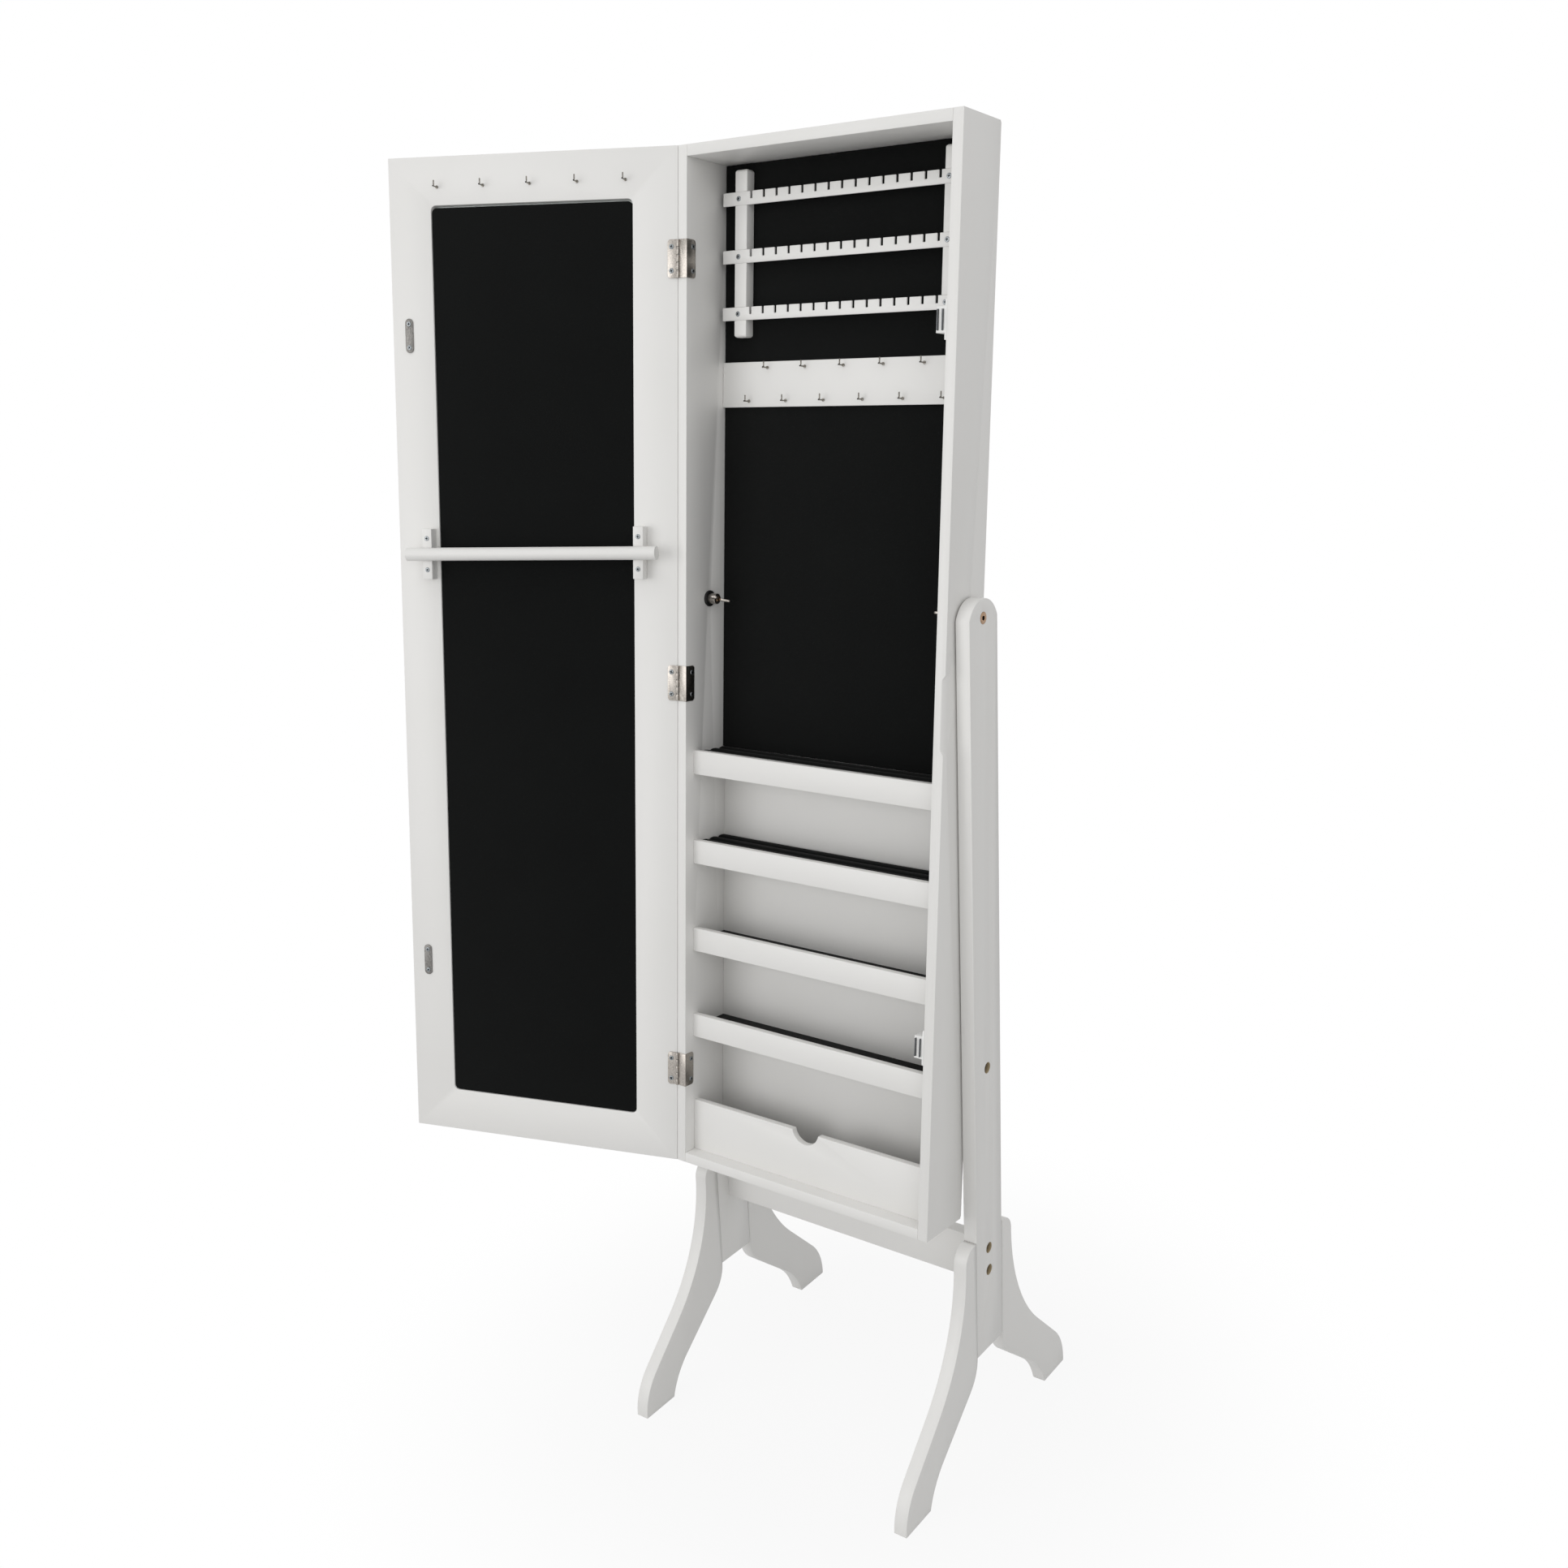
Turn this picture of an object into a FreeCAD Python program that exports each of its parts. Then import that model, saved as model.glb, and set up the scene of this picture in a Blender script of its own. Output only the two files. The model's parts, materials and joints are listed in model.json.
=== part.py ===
import FreeCAD, Part
import math
import os
import re

from FreeCAD import Placement, Rotation, Vector

# A free-standing jewellery cabinet with a mirror door. A shallow cabinet hangs
# between two uprights on a pair of pivot bolts, tilts about them and is clamped
# by wing nuts inside. Its door, mirror outside and hooks inside, swings on the
# left. The stand faces -Y, stands on Z = 0 and is centred between its feet.

doc = FreeCAD.newDocument("MirrorCabinet")
sheet = doc.addObject("Spreadsheet::Sheet", "Sizes")

SIZES = {
    # Carcass
    "cabinet_width": 348, "cabinet_height": 1150, "cabinet_depth": 72,
    "board_thickness": 12, "back_thickness": 3, "back_inset": 1,
    "pull_length": 82, "pull_taper": 6, "pull_width": 4, "pull_depth": 7, "pull_drop": 3,
    # Pivot and tilt
    "pivot_height": 973, "pivot_depth": 41, "pivot_rise": 669, "tilt_angle": 5.4,
    "stand_gap": 2, "spacer_diameter": 24, "washer_diameter": 18, "washer_thickness": 2,
    # Stand
    "upright_width": 57, "upright_thickness": 16, "upright_bottom": 130,
    "crown_radius": 30.5, "crown_rise": 20,
    "leg_joint_length": 146, "shoulder_flat": 4.5, "shoulder_radius": 19,
    "foot_reach": 187, "foot_length": 51, "calf_radius": 220, "toe_radius": 72,
    "toe_height": 2, "arch_radius": 45, "heel_radius": 90, "heel_drop": 25,
    "stretcher_thickness": 16, "stretcher_height": 54, "stretcher_bottom": 216,
    "spare_hole_height": 478,
    # Bolts
    "bolt_diameter": 6, "bolt_head_diameter": 12.5, "bolt_head_height": 3.5,
    "bolt_socket": 4.5, "socket_depth": 4.5, "bolt_spacing": 28, "bolt_length": 56, "bolt_sink": 8.5,
    "wing_hub_diameter": 12, "wing_hub_height": 10, "wing_span": 32, "wing_height": 19,
    "wing_thickness": 2.5, "wing_width": 10, "wing_turn": 19,
    # Fits
    "running_clearance": 0.05, "seat_gap": 0.2, "lining_gap": 0.3,
    # Hinges
    "hinge_height": 40, "hinge_leaf": 1, "hinge_knuckle_radius": 1.5, "hinge_pin_radius": 0.75,
    "hinge_stand_off": 1.8, "hinge_inset": 1, "hinge_leaf_width": 12, "hinge_wall_depth": 14,
    "hinge_end": 115.5, "knuckle_count": 5, "knuckle_gap": 0.3,
    # Door
    "door_thickness": 12, "door_edge_gap": 0.5, "door_opening": 160.6,
    "door_stile": 52, "door_lip_width": 8, "door_lip_thickness": 2.5, "door_corner_radius": 6,
    "mirror_thickness": 3, "door_felt_thickness": 5.5, "door_felt_drop": 2, "panel_clearance": 0.5,
    "door_hook_margin": 60.25, "door_hook_drop": 32.5, "door_hook_count": 5,
    "rod_diameter": 15, "rod_margin": 15.75, "rod_height": 716, "rod_skew": 8.5, "rod_stand_off": 16,
    "rod_rounding": 2, "block_width": 12, "block_height": 58, "block_depth": 13,
    "block_margin": 36.25,
    # Magnetic catches and their strike plates
    "catch_drop": 192.5, "catch_lower": 217, "catch_width": 11.5, "catch_depth": 15,
    "catch_height": 25, "catch_ear_height": 38, "catch_ear": 2, "catch_setback": 0.2,
    "catch_face": 1.2, "magnet_thickness": 4.4, "plate_thickness": 1.2, "plate_height": 20,
    "plate_proud": 2.2, "plate_sink": 11, "strike_height": 38, "strike_width": 10, "strike_thickness": 1.2,
    "strike_inset": 21,
    # Shelves and bin
    "shelf_count": 4, "shelf_pitch": 105.1, "lowest_lip": 154.5, "bin_top": 74.2,
    "lip_height": 27.7, "lip_thickness": 8, "lip_setback": 14,
    "shelf_thickness": 8, "felt_thickness": 2, "roll_height": 20.5, "roll_channel": 6,
    "roll_count": 3, "roll_end_drop": 2, "roll_end_length": 6, "bin_setback": 17,
    "notch_radius": 18, "notch_rise": 3.2,
    # Lined back, earring rack and hook rail
    "felt_board": 4.5, "rack_drop": 107.5, "batten_width": 16, "batten_depth": 13,
    "batten_length": 175, "batten_margin": 23, "batten_rounding": 3, "rail_thickness": 2.2,
    "rail_height": 14, "rail_end_gap": 6.5, "rail_pitch": 60, "rail_drop": 2.5, "slot_margin": 5,
    "slot_pitch": 16.8, "slot_width": 3, "slot_depth": 7.7,
    "hook_rail_height": 48.5, "hook_rail_thickness": 3.5,
    "hook_rail_drop": 245, "hook_row_offset": 17.8, "hook_margin": 37, "upper_hook_count": 5,
    "lower_hook_count": 6, "hook_wire": 1.6, "hook_reach": 11.5, "hook_rise": 7.5, "hook_bend": 2,
    "hook_collar": 3.6, "hook_collar_thickness": 1, "hook_thread": 3,
}

# Sizes that follow from the others, so that what fits the cabinet keeps to it.
FITTED = {
    "inside_width": "cabinet_width - 2 * board_thickness",
    "door_width": "cabinet_width - hinge_inset - door_edge_gap",
    "door_hook_spacing": "(door_width - 2 * door_hook_margin) / (door_hook_count - 1)",
    "rod_length": "door_width - 2 * rod_margin",
    "block_spacing": "door_width - 2 * block_margin - block_width",
    "batten_spacing": "inside_width - 2 * batten_margin - batten_width",
    "rail_length": "inside_width - 2 * rail_end_gap",
    "slot_count": "floor((batten_spacing - batten_width - 2 * slot_margin) / slot_pitch) + 1",
    "hook_spacing": "(inside_width - 2 * hook_margin) / (lower_hook_count - 1)",
    "rack_height": "cabinet_height - rack_drop",
    "hook_rail_level": "cabinet_height - hook_rail_drop",
    "catch_upper": "cabinet_height - catch_drop",
    "hinge_offset": "cabinet_height / 2 - hinge_end",
}

rows = list(SIZES.items()) + [(alias, "=" + formula) for alias, formula in FITTED.items()]
for row, (alias, content) in enumerate(rows, start=1):
    sheet.set(f"A{row}", alias.replace("_", " "))
    sheet.set(f"B{row}", str(content))
    sheet.setAlias(f"B{row}", alias)
    doc.recompute()


class Dimensions:
    """Gives a driving size of the sheet by its name."""

    def __getattr__(self, alias):
        return float(sheet.get(alias))


size = Dimensions()
nodes = []

ALONG_X = Rotation(Vector(0, 1, 0), 90)
ALONG_Y = Rotation(Vector(1, 0, 0), -90)

# The cabinet's own frame: x to the right from its middle, y back from its front
# rim, z up from its bottom. The door's frame: x along the door from the hinge
# axis, y from the axis towards the cabinet when shut, z as the cabinet's.
pivot = Placement(Vector(0, 0, size.pivot_height), Rotation(Vector(1, 0, 0), -size.tilt_angle))
CABINET = pivot.multiply(Placement(Vector(0, -size.pivot_depth, -size.pivot_rise), Rotation()))
HINGE_X = -size.cabinet_width / 2 + size.hinge_inset
HINGE_Y = -size.hinge_stand_off
door_turn = Placement(Vector(HINGE_X, HINGE_Y, 0), Rotation(Vector(0, 0, 1), -size.door_opening))
DOOR = CABINET.multiply(door_turn)

INSIDE = size.inside_width / 2
STAND_INSIDE = size.cabinet_width / 2 + size.stand_gap
STAND_OUTSIDE = STAND_INSIDE + size.upright_thickness
BOLT_HOLE = "bolt_diameter / 2 + running_clearance"
SIDES = {"left": -1, "right": 1}


def bind(obj, **formulas):
    """Binds properties to formulas written in the sheet's own names."""
    for prop, text in formulas.items():
        obj.setExpression(prop, re.sub(r"[a-z]\w*", r"Sizes.\g<0>", text))


def keep(obj, frame=None):
    """Marks an object as a finished piece and puts it in its frame."""
    if frame is not None:
        obj.Placement = frame.multiply(obj.Placement)
    nodes.append(obj)
    return obj


def block(label, low, length, width, height):
    box = doc.addObject("Part::Box", label)
    bind(box, Length=length, Width=width, Height=height)
    box.Placement = Placement(Vector(*low), Rotation())
    return box


def cylinder(label, start, along, radius, length):
    round_bar = doc.addObject("Part::Cylinder", label)
    bind(round_bar, Radius=radius, Height=length)
    round_bar.Placement = Placement(Vector(*start), along)
    return round_bar


def cut(label, base, tools):
    """The base with every tool cut out of it."""
    tool = tools[0]
    if len(tools) > 1:
        tool = doc.addObject("Part::MultiFuse", label + "_cuts")
        tool.Shapes = tools
    result = doc.addObject("Part::Cut", label)
    result.Base = base
    result.Tool = tool
    return result


def fuse(label, pieces):
    result = doc.addObject("Part::MultiFuse", label)
    result.Shapes = pieces
    return result


def common(label, base, tool):
    result = doc.addObject("Part::Common", label)
    result.Base = base
    result.Tool = tool
    return result


def group(label, pieces):
    """Like pieces kept together as separate solids."""
    result = doc.addObject("Part::Compound", label)
    result.Links = pieces
    return result


def shaped(label, shape):
    feature = doc.addObject("Part::Feature", label)
    feature.Shape = shape
    return feature


def sketch_on(body, name, role, outlines):
    """A sketch on one of the body's own planes, holding closed outlines."""
    plane = next(f for f in body.Origin.OriginFeatures if f.Role == role)
    sketch = body.newObject("Sketcher::SketchObject", name)
    sketch.AttachmentSupport = [(plane, "")]
    sketch.MapMode = "FlatFace"
    for outline in outlines:
        for edge in outline:
            sketch.addGeometry(edge, False)
    return sketch


def polygon(points):
    corners = [Vector(x, y, 0) for x, y in points]
    return [Part.LineSegment(a, b) for a, b in zip(corners, corners[1:] + corners[:1])]


def rectangle(left, right, bottom, top):
    return polygon([(left, bottom), (right, bottom), (right, top), (left, top)])


def rounded_rectangle(left, right, bottom, top, radius):
    """Four sides joined by quarter arcs."""
    cut_back = radius * (1 - math.sqrt(0.5))
    edges = []
    for x, y, sx, sy in ((right, bottom, -1, 1), (right, top, -1, -1),
                         (left, top, 1, -1), (left, bottom, 1, 1)):
        across = Vector(x + sx * radius, y, 0)
        middle = Vector(x + sx * cut_back, y + sy * cut_back, 0)
        upward = Vector(x, y + sy * radius, 0)
        ends = (across, middle, upward) if sx * sy < 0 else (upward, middle, across)
        edges.append(ends)
    outline = []
    for corner, following in zip(edges, edges[1:] + edges[:1]):
        outline.append(Part.Arc(*corner))
        outline.append(Part.LineSegment(corner[2], following[0]))
    return outline


def prism(radius, sides, length):
    """A straight bar of regular section along +Z."""
    turns = [2 * math.pi * i / sides for i in range(sides)]
    points = [Vector(radius * math.cos(a), radius * math.sin(a), 0) for a in turns]
    return Part.Face(Part.makePolygon(points + points[:1])).extrude(Vector(0, 0, length))


def hook(at, facing):
    """An L-shaped screw hook of six-sided wire: a thread, a collar, a shank and an upturned end.

    Its shank runs out of the board along -Y, or along +Y where facing is turned half round.
    """
    radius = size.hook_wire / 2
    bend = size.hook_reach - size.hook_bend
    path = Part.makePolygon([Vector(0, 0, 0), Vector(0, -bend, 0),
                             Vector(0, -size.hook_reach, size.hook_bend),
                             Vector(0, -size.hook_reach, size.hook_rise)])
    section = prism(radius, 6, 1).Faces[-1].OuterWire.copy()
    outward = Rotation(Vector(1, 0, 0), 90)
    section.Placement = Placement(Vector(0, 0, 0), outward).multiply(Placement(Vector(0, 0, -1), Rotation()))
    wire = path.makePipeShell([section], True, False, 1)
    stub = prism(radius, 6, size.hook_thread)
    stub.Placement = Placement(Vector(0, size.hook_thread, 0), outward)
    collar = prism(size.hook_collar / 2, 8, size.hook_collar_thickness)
    collar.Placement = Placement(Vector(0, 0, 0), outward)
    shape = wire.fuse([stub, collar]).removeSplitter()
    shape.Placement = Placement(Vector(*at), facing)
    return shape


def bolt(head_height, length):
    """A socket-head bolt along +Z from its head's outer face, its plain shank eight-sided."""
    head = Part.makeCylinder(size.bolt_head_diameter / 2, head_height)
    shank = prism(size.bolt_diameter / 2, 8, length)
    socket = prism(size.bolt_socket / math.sqrt(3), 6, size.socket_depth)
    return head.fuse(shank).cut(socket)


# Stand

STRETCHER_MIDDLE = size.stretcher_bottom + size.stretcher_height / 2
BOLT_LEVELS = [STRETCHER_MIDDLE - size.bolt_spacing / 2, STRETCHER_MIDDLE + size.bolt_spacing / 2]
JOINT_TOP = size.upright_bottom + size.leg_joint_length
HALF_UPRIGHT = size.upright_width / 2


def make_upright(side, sign):
    """A flat post with a rounded top, drilled for its bolts."""
    label = f"upright_{side}"
    middle = size.upright_thickness / 2
    outer_face = middle + sign * middle

    def bore(name, level, radius, depth_text, depth):
        start = outer_face - depth if sign > 0 else outer_face
        return cylinder(f"{label}_{name}", (start, 0, level), ALONG_X, radius, depth_text)

    crown_centre = size.pivot_height + size.crown_rise - size.crown_radius
    post = block(f"{label}_post", (0, -HALF_UPRIGHT, size.upright_bottom), "upright_thickness",
                 "upright_width", "pivot_height + crown_rise - crown_radius - upright_bottom")
    end = block(f"{label}_end", (0, -HALF_UPRIGHT, crown_centre), "upright_thickness", "upright_width",
                "crown_radius")
    arc = cylinder(f"{label}_arc", (0, 0, crown_centre), ALONG_X, "crown_radius", "upright_thickness")
    top = common(f"{label}_top", end, arc)
    head_bore = "bolt_head_diameter / 2 + running_clearance"
    through = size.upright_thickness
    cuts = [
        bore("pivot_hole", size.pivot_height, BOLT_HOLE, "upright_thickness", through),
        bore("pivot_head", size.pivot_height, head_bore, "bolt_head_height", size.bolt_head_height),
        bore("spare_hole", size.spare_hole_height, head_bore, "bolt_sink", size.bolt_sink),
    ]
    for i, level in enumerate(BOLT_LEVELS):
        cuts.append(bore(f"bolt_hole_{i}", level, BOLT_HOLE, "upright_thickness", through))
        cuts.append(bore(f"bolt_head_{i}", level, head_bore, "bolt_sink + bolt_head_height",
                         size.bolt_sink + size.bolt_head_height))
    piece = cut(label, fuse(f"{label}_blank", [post, top]), cuts)
    keep(piece, Placement(Vector(STAND_INSIDE if sign > 0 else -STAND_OUTSIDE, 0, 0), Rotation()))


def ogee(start, start_radius, end, end_radius, end_level):
    """An S-curve from one upright tangent to another: two arcs joined by their common tangent.

    Gives the three points of the first arc and the three of the second, which stops at end_level.
    """
    both = start_radius + end_radius
    across = both - (end[0] - start[0])
    down = start[1] - end[1]
    lean = math.atan2(down, across) - math.acos(both / math.hypot(across, down))
    last = math.asin((end_level - end[1]) / end_radius)

    def first_arc(a):
        return start[0] + start_radius * (1 - math.cos(a)), start[1] - start_radius * math.sin(a)

    def second_arc(a):
        return end[0] - end_radius * (1 - math.cos(a)), end[1] + end_radius * math.sin(a)

    return ([first_arc(a) for a in (0, lean / 2, lean)],
            [second_arc(a) for a in (lean, (lean + last) / 2, last)])


def leg_outline(direction):
    """A leg's side view: glued edge, rounded shoulder, ogee front, flat sole and arched inside."""
    def at(point):
        return Vector(direction * point[0], point[1], 0)

    def arc(points):
        return Part.Arc(*[at(p) for p in points])

    def line(a, b):
        return Part.LineSegment(at(a), at(b))

    near = HALF_UPRIGHT
    radius = size.shoulder_radius
    shoulder_x = near + size.shoulder_flat + radius
    shoulder_z = JOINT_TOP - radius
    round_off = radius * math.sqrt(0.5)
    shoulder = [(shoulder_x - radius, JOINT_TOP),
                (shoulder_x - radius + round_off, shoulder_z + round_off),
                (shoulder_x, shoulder_z)]
    calf, toe = ogee((shoulder_x, shoulder_z), size.calf_radius,
                     (size.foot_reach, size.toe_height), size.toe_radius, size.toe_height)
    sole_end = size.foot_reach - size.foot_length
    heel_run = math.sqrt(size.heel_radius ** 2 - size.heel_drop ** 2)
    heel_x = sole_end + size.heel_radius - heel_run
    arch, heel = ogee((near, size.upright_bottom), size.arch_radius,
                      (heel_x, -size.heel_drop), size.heel_radius, 0)
    top, sole = (near, JOINT_TOP), (size.foot_reach, 0)
    return [
        line(top, shoulder[0]), arc(shoulder), arc(calf), line(calf[2], toe[0]), arc(toe),
        line(toe[2], sole), line(sole, heel[2]), arc(heel), line(heel[0], arch[2]), arc(arch),
        line(arch[0], top),
    ]


def make_leg(end, direction, side, sign):
    label = f"{end}_leg_{side}"
    body = doc.addObject("PartDesign::Body", label)
    outline = sketch_on(body, f"{label}_outline", "YZ_Plane", [leg_outline(direction)])
    pad = body.newObject("PartDesign::Pad", f"{label}_pad")
    pad.Profile = outline
    bind(pad, Length="upright_thickness")
    keep(body, Placement(Vector(STAND_INSIDE if sign > 0 else -STAND_OUTSIDE, 0, 0), Rotation()))


def make_stretcher():
    blank = block("stretcher_blank", (-STAND_INSIDE, -size.stretcher_thickness / 2, size.stretcher_bottom),
                  "cabinet_width + 2 * stand_gap", "stretcher_thickness", "stretcher_height")
    depth = size.bolt_length - size.upright_thickness + size.bolt_sink
    cuts = []
    for side, sign in SIDES.items():
        start = -STAND_INSIDE if sign < 0 else STAND_INSIDE - depth
        for i, level in enumerate(BOLT_LEVELS):
            cuts.append(cylinder(f"stretcher_hole_{side}_{i}", (start, 0, level), ALONG_X, BOLT_HOLE,
                                 "bolt_length - upright_thickness + bolt_sink"))
    keep(cut("stretcher", blank, cuts))


def make_stand_fasteners():
    """Bolts of the stretcher, bolts and spacers of the pivot."""
    bolts, pivots, spacers = [], [], []
    for sign in SIDES.values():
        inward = Rotation(Vector(0, 1, 0), -90 * sign)
        for level in BOLT_LEVELS:
            part = bolt(size.bolt_head_height, size.bolt_length)
            part.Placement = Placement(Vector(sign * (STAND_OUTSIDE - size.bolt_sink), 0, level), inward)
            bolts.append(part)
        pivot_length = (STAND_OUTSIDE - INSIDE + size.washer_thickness + size.seat_gap
                        + size.wing_hub_height + size.bolt_head_height / 2)
        part = bolt(size.bolt_head_height, pivot_length)
        part.Placement = Placement(Vector(sign * STAND_OUTSIDE, 0, size.pivot_height), inward)
        pivots.append(part)
        start = Vector(sign * STAND_INSIDE, 0, size.pivot_height)
        ring = Part.makeCylinder(size.spacer_diameter / 2, size.stand_gap - size.seat_gap,
                                 start, Vector(-sign, 0, 0))
        hole = Part.makeCylinder(size.bolt_diameter / 2 + size.running_clearance, size.stand_gap,
                                 start, Vector(-sign, 0, 0))
        spacers.append(ring.cut(hole))
    for label, pieces in (("stretcher_bolts", bolts), ("pivot_bolts", pivots), ("pivot_spacers", spacers)):
        keep(shaped(label, Part.makeCompound(pieces)))


def make_wing_nut(side, sign):
    """A round hub with two rounded wings, its seat on the washer and its axis along X."""
    hub = Part.makeCylinder(size.wing_hub_diameter / 2, size.wing_hub_height)
    half, width, rise = size.wing_span / 2, size.wing_width, size.wing_height
    low = size.wing_hub_height / 3
    slack = width / 2
    wings = []
    for way in (-1, 1):
        inner, outer = Vector(0, 0, low), Vector(way * (half - slack), 0, rise - width)
        tip = Vector(way * half, 0, rise - slack)
        crown = Vector(way * (half - slack), 0, rise)
        root = Vector(0, 0, size.wing_hub_height)
        outline = Part.Wire([
            Part.LineSegment(inner, outer).toShape(),
            Part.Arc(outer, tip, crown).toShape(),
            Part.LineSegment(crown, root).toShape(),
            Part.LineSegment(root, inner).toShape(),
        ])
        wing = Part.Face(outline).extrude(Vector(0, size.wing_thickness, 0))
        wing.translate(Vector(0, -size.wing_thickness / 2, 0))
        wings.append(wing)
    thread = Part.makeCylinder(size.bolt_diameter / 2 + size.running_clearance, rise)
    shape = hub.fuse(wings).cut(thread)
    turn = Rotation(Vector(1, 0, 0), 90 - size.wing_turn).multiply(Rotation(Vector(0, 1, 0), -90 * sign))
    seat = Vector(sign * (INSIDE - size.washer_thickness - size.seat_gap), 0, size.pivot_height)
    shape.Placement = Placement(seat, turn)
    keep(shaped(f"wing_nut_{side}", shape))


# Carcass

def make_side_panel(side, sign):
    """A full-height board with the pivot hole. The right one has the finger pull on its front edge."""
    label = f"side_panel_{side}"
    low_x = INSIDE if sign > 0 else -size.cabinet_width / 2
    blank = block(f"{label}_blank", (low_x, 0, 0), "board_thickness", "cabinet_depth", "cabinet_height")
    cuts = [cylinder(f"{label}_pivot_hole", (low_x, size.pivot_depth, size.pivot_rise), ALONG_X,
                     BOLT_HOLE, "board_thickness")]
    if sign > 0:
        pull = doc.addObject("Part::Wedge", f"{label}_finger_pull")
        bind(pull, Xmax="pull_length", Zmax="pull_depth", Ymax="pull_width",
             X2min="pull_taper", X2max="pull_length - pull_taper")
        pull.Xmin = pull.Ymin = pull.Zmin = pull.Z2min = pull.Z2max = 0
        top = size.cabinet_height / 2 - size.pull_drop + size.pull_length / 2
        inward = Rotation(Vector(0, 0, -1), Vector(-1, 0, 0), Vector(0, 1, 0), "XYZ")
        pull.Placement = Placement(Vector(size.cabinet_width / 2, 0, top), inward)
        cuts.append(pull)
    keep(cut(label, blank, cuts), CABINET)


def make_carcass():
    for side, sign in SIDES.items():
        make_side_panel(side, sign)
    for label, level in (("top_panel", size.cabinet_height - size.board_thickness), ("bottom_panel", 0)):
        keep(block(label, (-INSIDE, 0, level), "inside_width", "cabinet_depth", "board_thickness"), CABINET)
    low = (-size.cabinet_width / 2 + size.back_inset, size.cabinet_depth, size.back_inset)
    keep(block("back_panel", low, "cabinet_width - 2 * back_inset", "back_thickness",
               "cabinet_height - 2 * back_inset"), CABINET)
    washers = []
    for sign in SIDES.values():
        start = Vector(sign * INSIDE, size.pivot_depth, size.pivot_rise)
        inward = Vector(-sign, 0, 0)
        disc = Part.makeCylinder(size.washer_diameter / 2, size.washer_thickness, start, inward)
        hole = Part.makeCylinder(size.bolt_diameter / 2 + size.running_clearance,
                                 size.washer_thickness, start, inward)
        washers.append(disc.cut(hole))
    keep(shaped("pivot_washers", Part.makeCompound(washers)), CABINET)


# Shelves, ring rolls and bin

LIP_BACK = size.lip_setback + size.lip_thickness
SHELF_DEPTH = "cabinet_depth - lip_setback - lip_thickness"
LINED = "inside_width - 2 * lining_gap"


def shelf_level(shelf):
    """Level of a shelf's underside, counted from the top shelf, 1, down."""
    return size.lowest_lip + (size.shelf_count - shelf) * size.shelf_pitch


def floor_level(shelf):
    return shelf_level(shelf) + size.shelf_thickness


def make_ring_roll(shelf):
    """Padded rolls lying side by side across a shelf, with channels between them and drawn-in ends."""
    front = LIP_BACK + size.lining_gap
    pitch = (size.cabinet_depth - size.lining_gap - front) / size.roll_count
    half = INSIDE - size.lining_gap
    count = int(size.roll_count)

    def section(x, drop):
        crown = size.roll_height - drop
        valley = crown - size.roll_channel
        floor = floor_level(shelf)
        start = Vector(x, front, floor)
        end = Vector(x, front + count * pitch, floor)
        valleys = [Vector(x, front + i * pitch, floor + valley) for i in range(count + 1)]
        tops = [Vector(x, front + (i + 0.5) * pitch, floor + crown) for i in range(count)]
        edges = [Part.LineSegment(start, valleys[0])]
        edges += [Part.Arc(valleys[i], tops[i], valleys[i + 1]) for i in range(count)]
        edges += [Part.LineSegment(valleys[-1], end), Part.LineSegment(end, start)]
        return Part.Wire([edge.toShape() for edge in edges])

    inner = half - size.roll_end_length
    drops = ((-half, size.roll_end_drop), (-inner, 0), (inner, 0), (half, size.roll_end_drop))
    shape = Part.makeLoft([section(x, drop) for x, drop in drops], True, True)
    keep(shaped(f"ring_roll_{shelf}", shape), CABINET)


def make_shelves():
    felts = []
    for shelf in range(1, int(size.shelf_count) + 1):
        bottom = shelf_level(shelf)
        keep(block(f"shelf_{shelf}", (-INSIDE, LIP_BACK, bottom), "inside_width", SHELF_DEPTH,
                   "shelf_thickness"), CABINET)
        keep(block(f"shelf_lip_{shelf}", (-INSIDE, size.lip_setback, bottom), "inside_width",
                   "lip_thickness", "lip_height"), CABINET)
        if shelf <= 2:
            make_ring_roll(shelf)
        else:
            low = (-INSIDE + size.lining_gap, LIP_BACK + size.lining_gap, floor_level(shelf))
            felts.append(block(f"shelf_felt_{shelf}", low, LINED, SHELF_DEPTH + " - 2 * lining_gap",
                               "felt_thickness"))
    keep(group("shelf_felts", felts), CABINET)
    front = block("bin_front_blank", (-INSIDE, size.bin_setback, size.board_thickness), "inside_width",
                  "lip_thickness", "bin_top - board_thickness")
    notch = cylinder("bin_front_notch", (0, size.bin_setback, size.bin_top + size.notch_rise), ALONG_Y,
                     "notch_radius", "lip_thickness")
    keep(cut("bin_front", front, [notch]), CABINET)


# Lined back, earring rack and hook rail

FELT_FACE = size.cabinet_depth - size.felt_board
RACK_FRONT = FELT_FACE - size.batten_depth
RAIL_MIDDLE = size.rack_height - size.rail_drop
RAIL_LEVELS = {"top": RAIL_MIDDLE + size.rail_pitch, "middle": RAIL_MIDDLE,
               "bottom": RAIL_MIDDLE - size.rail_pitch}


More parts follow.
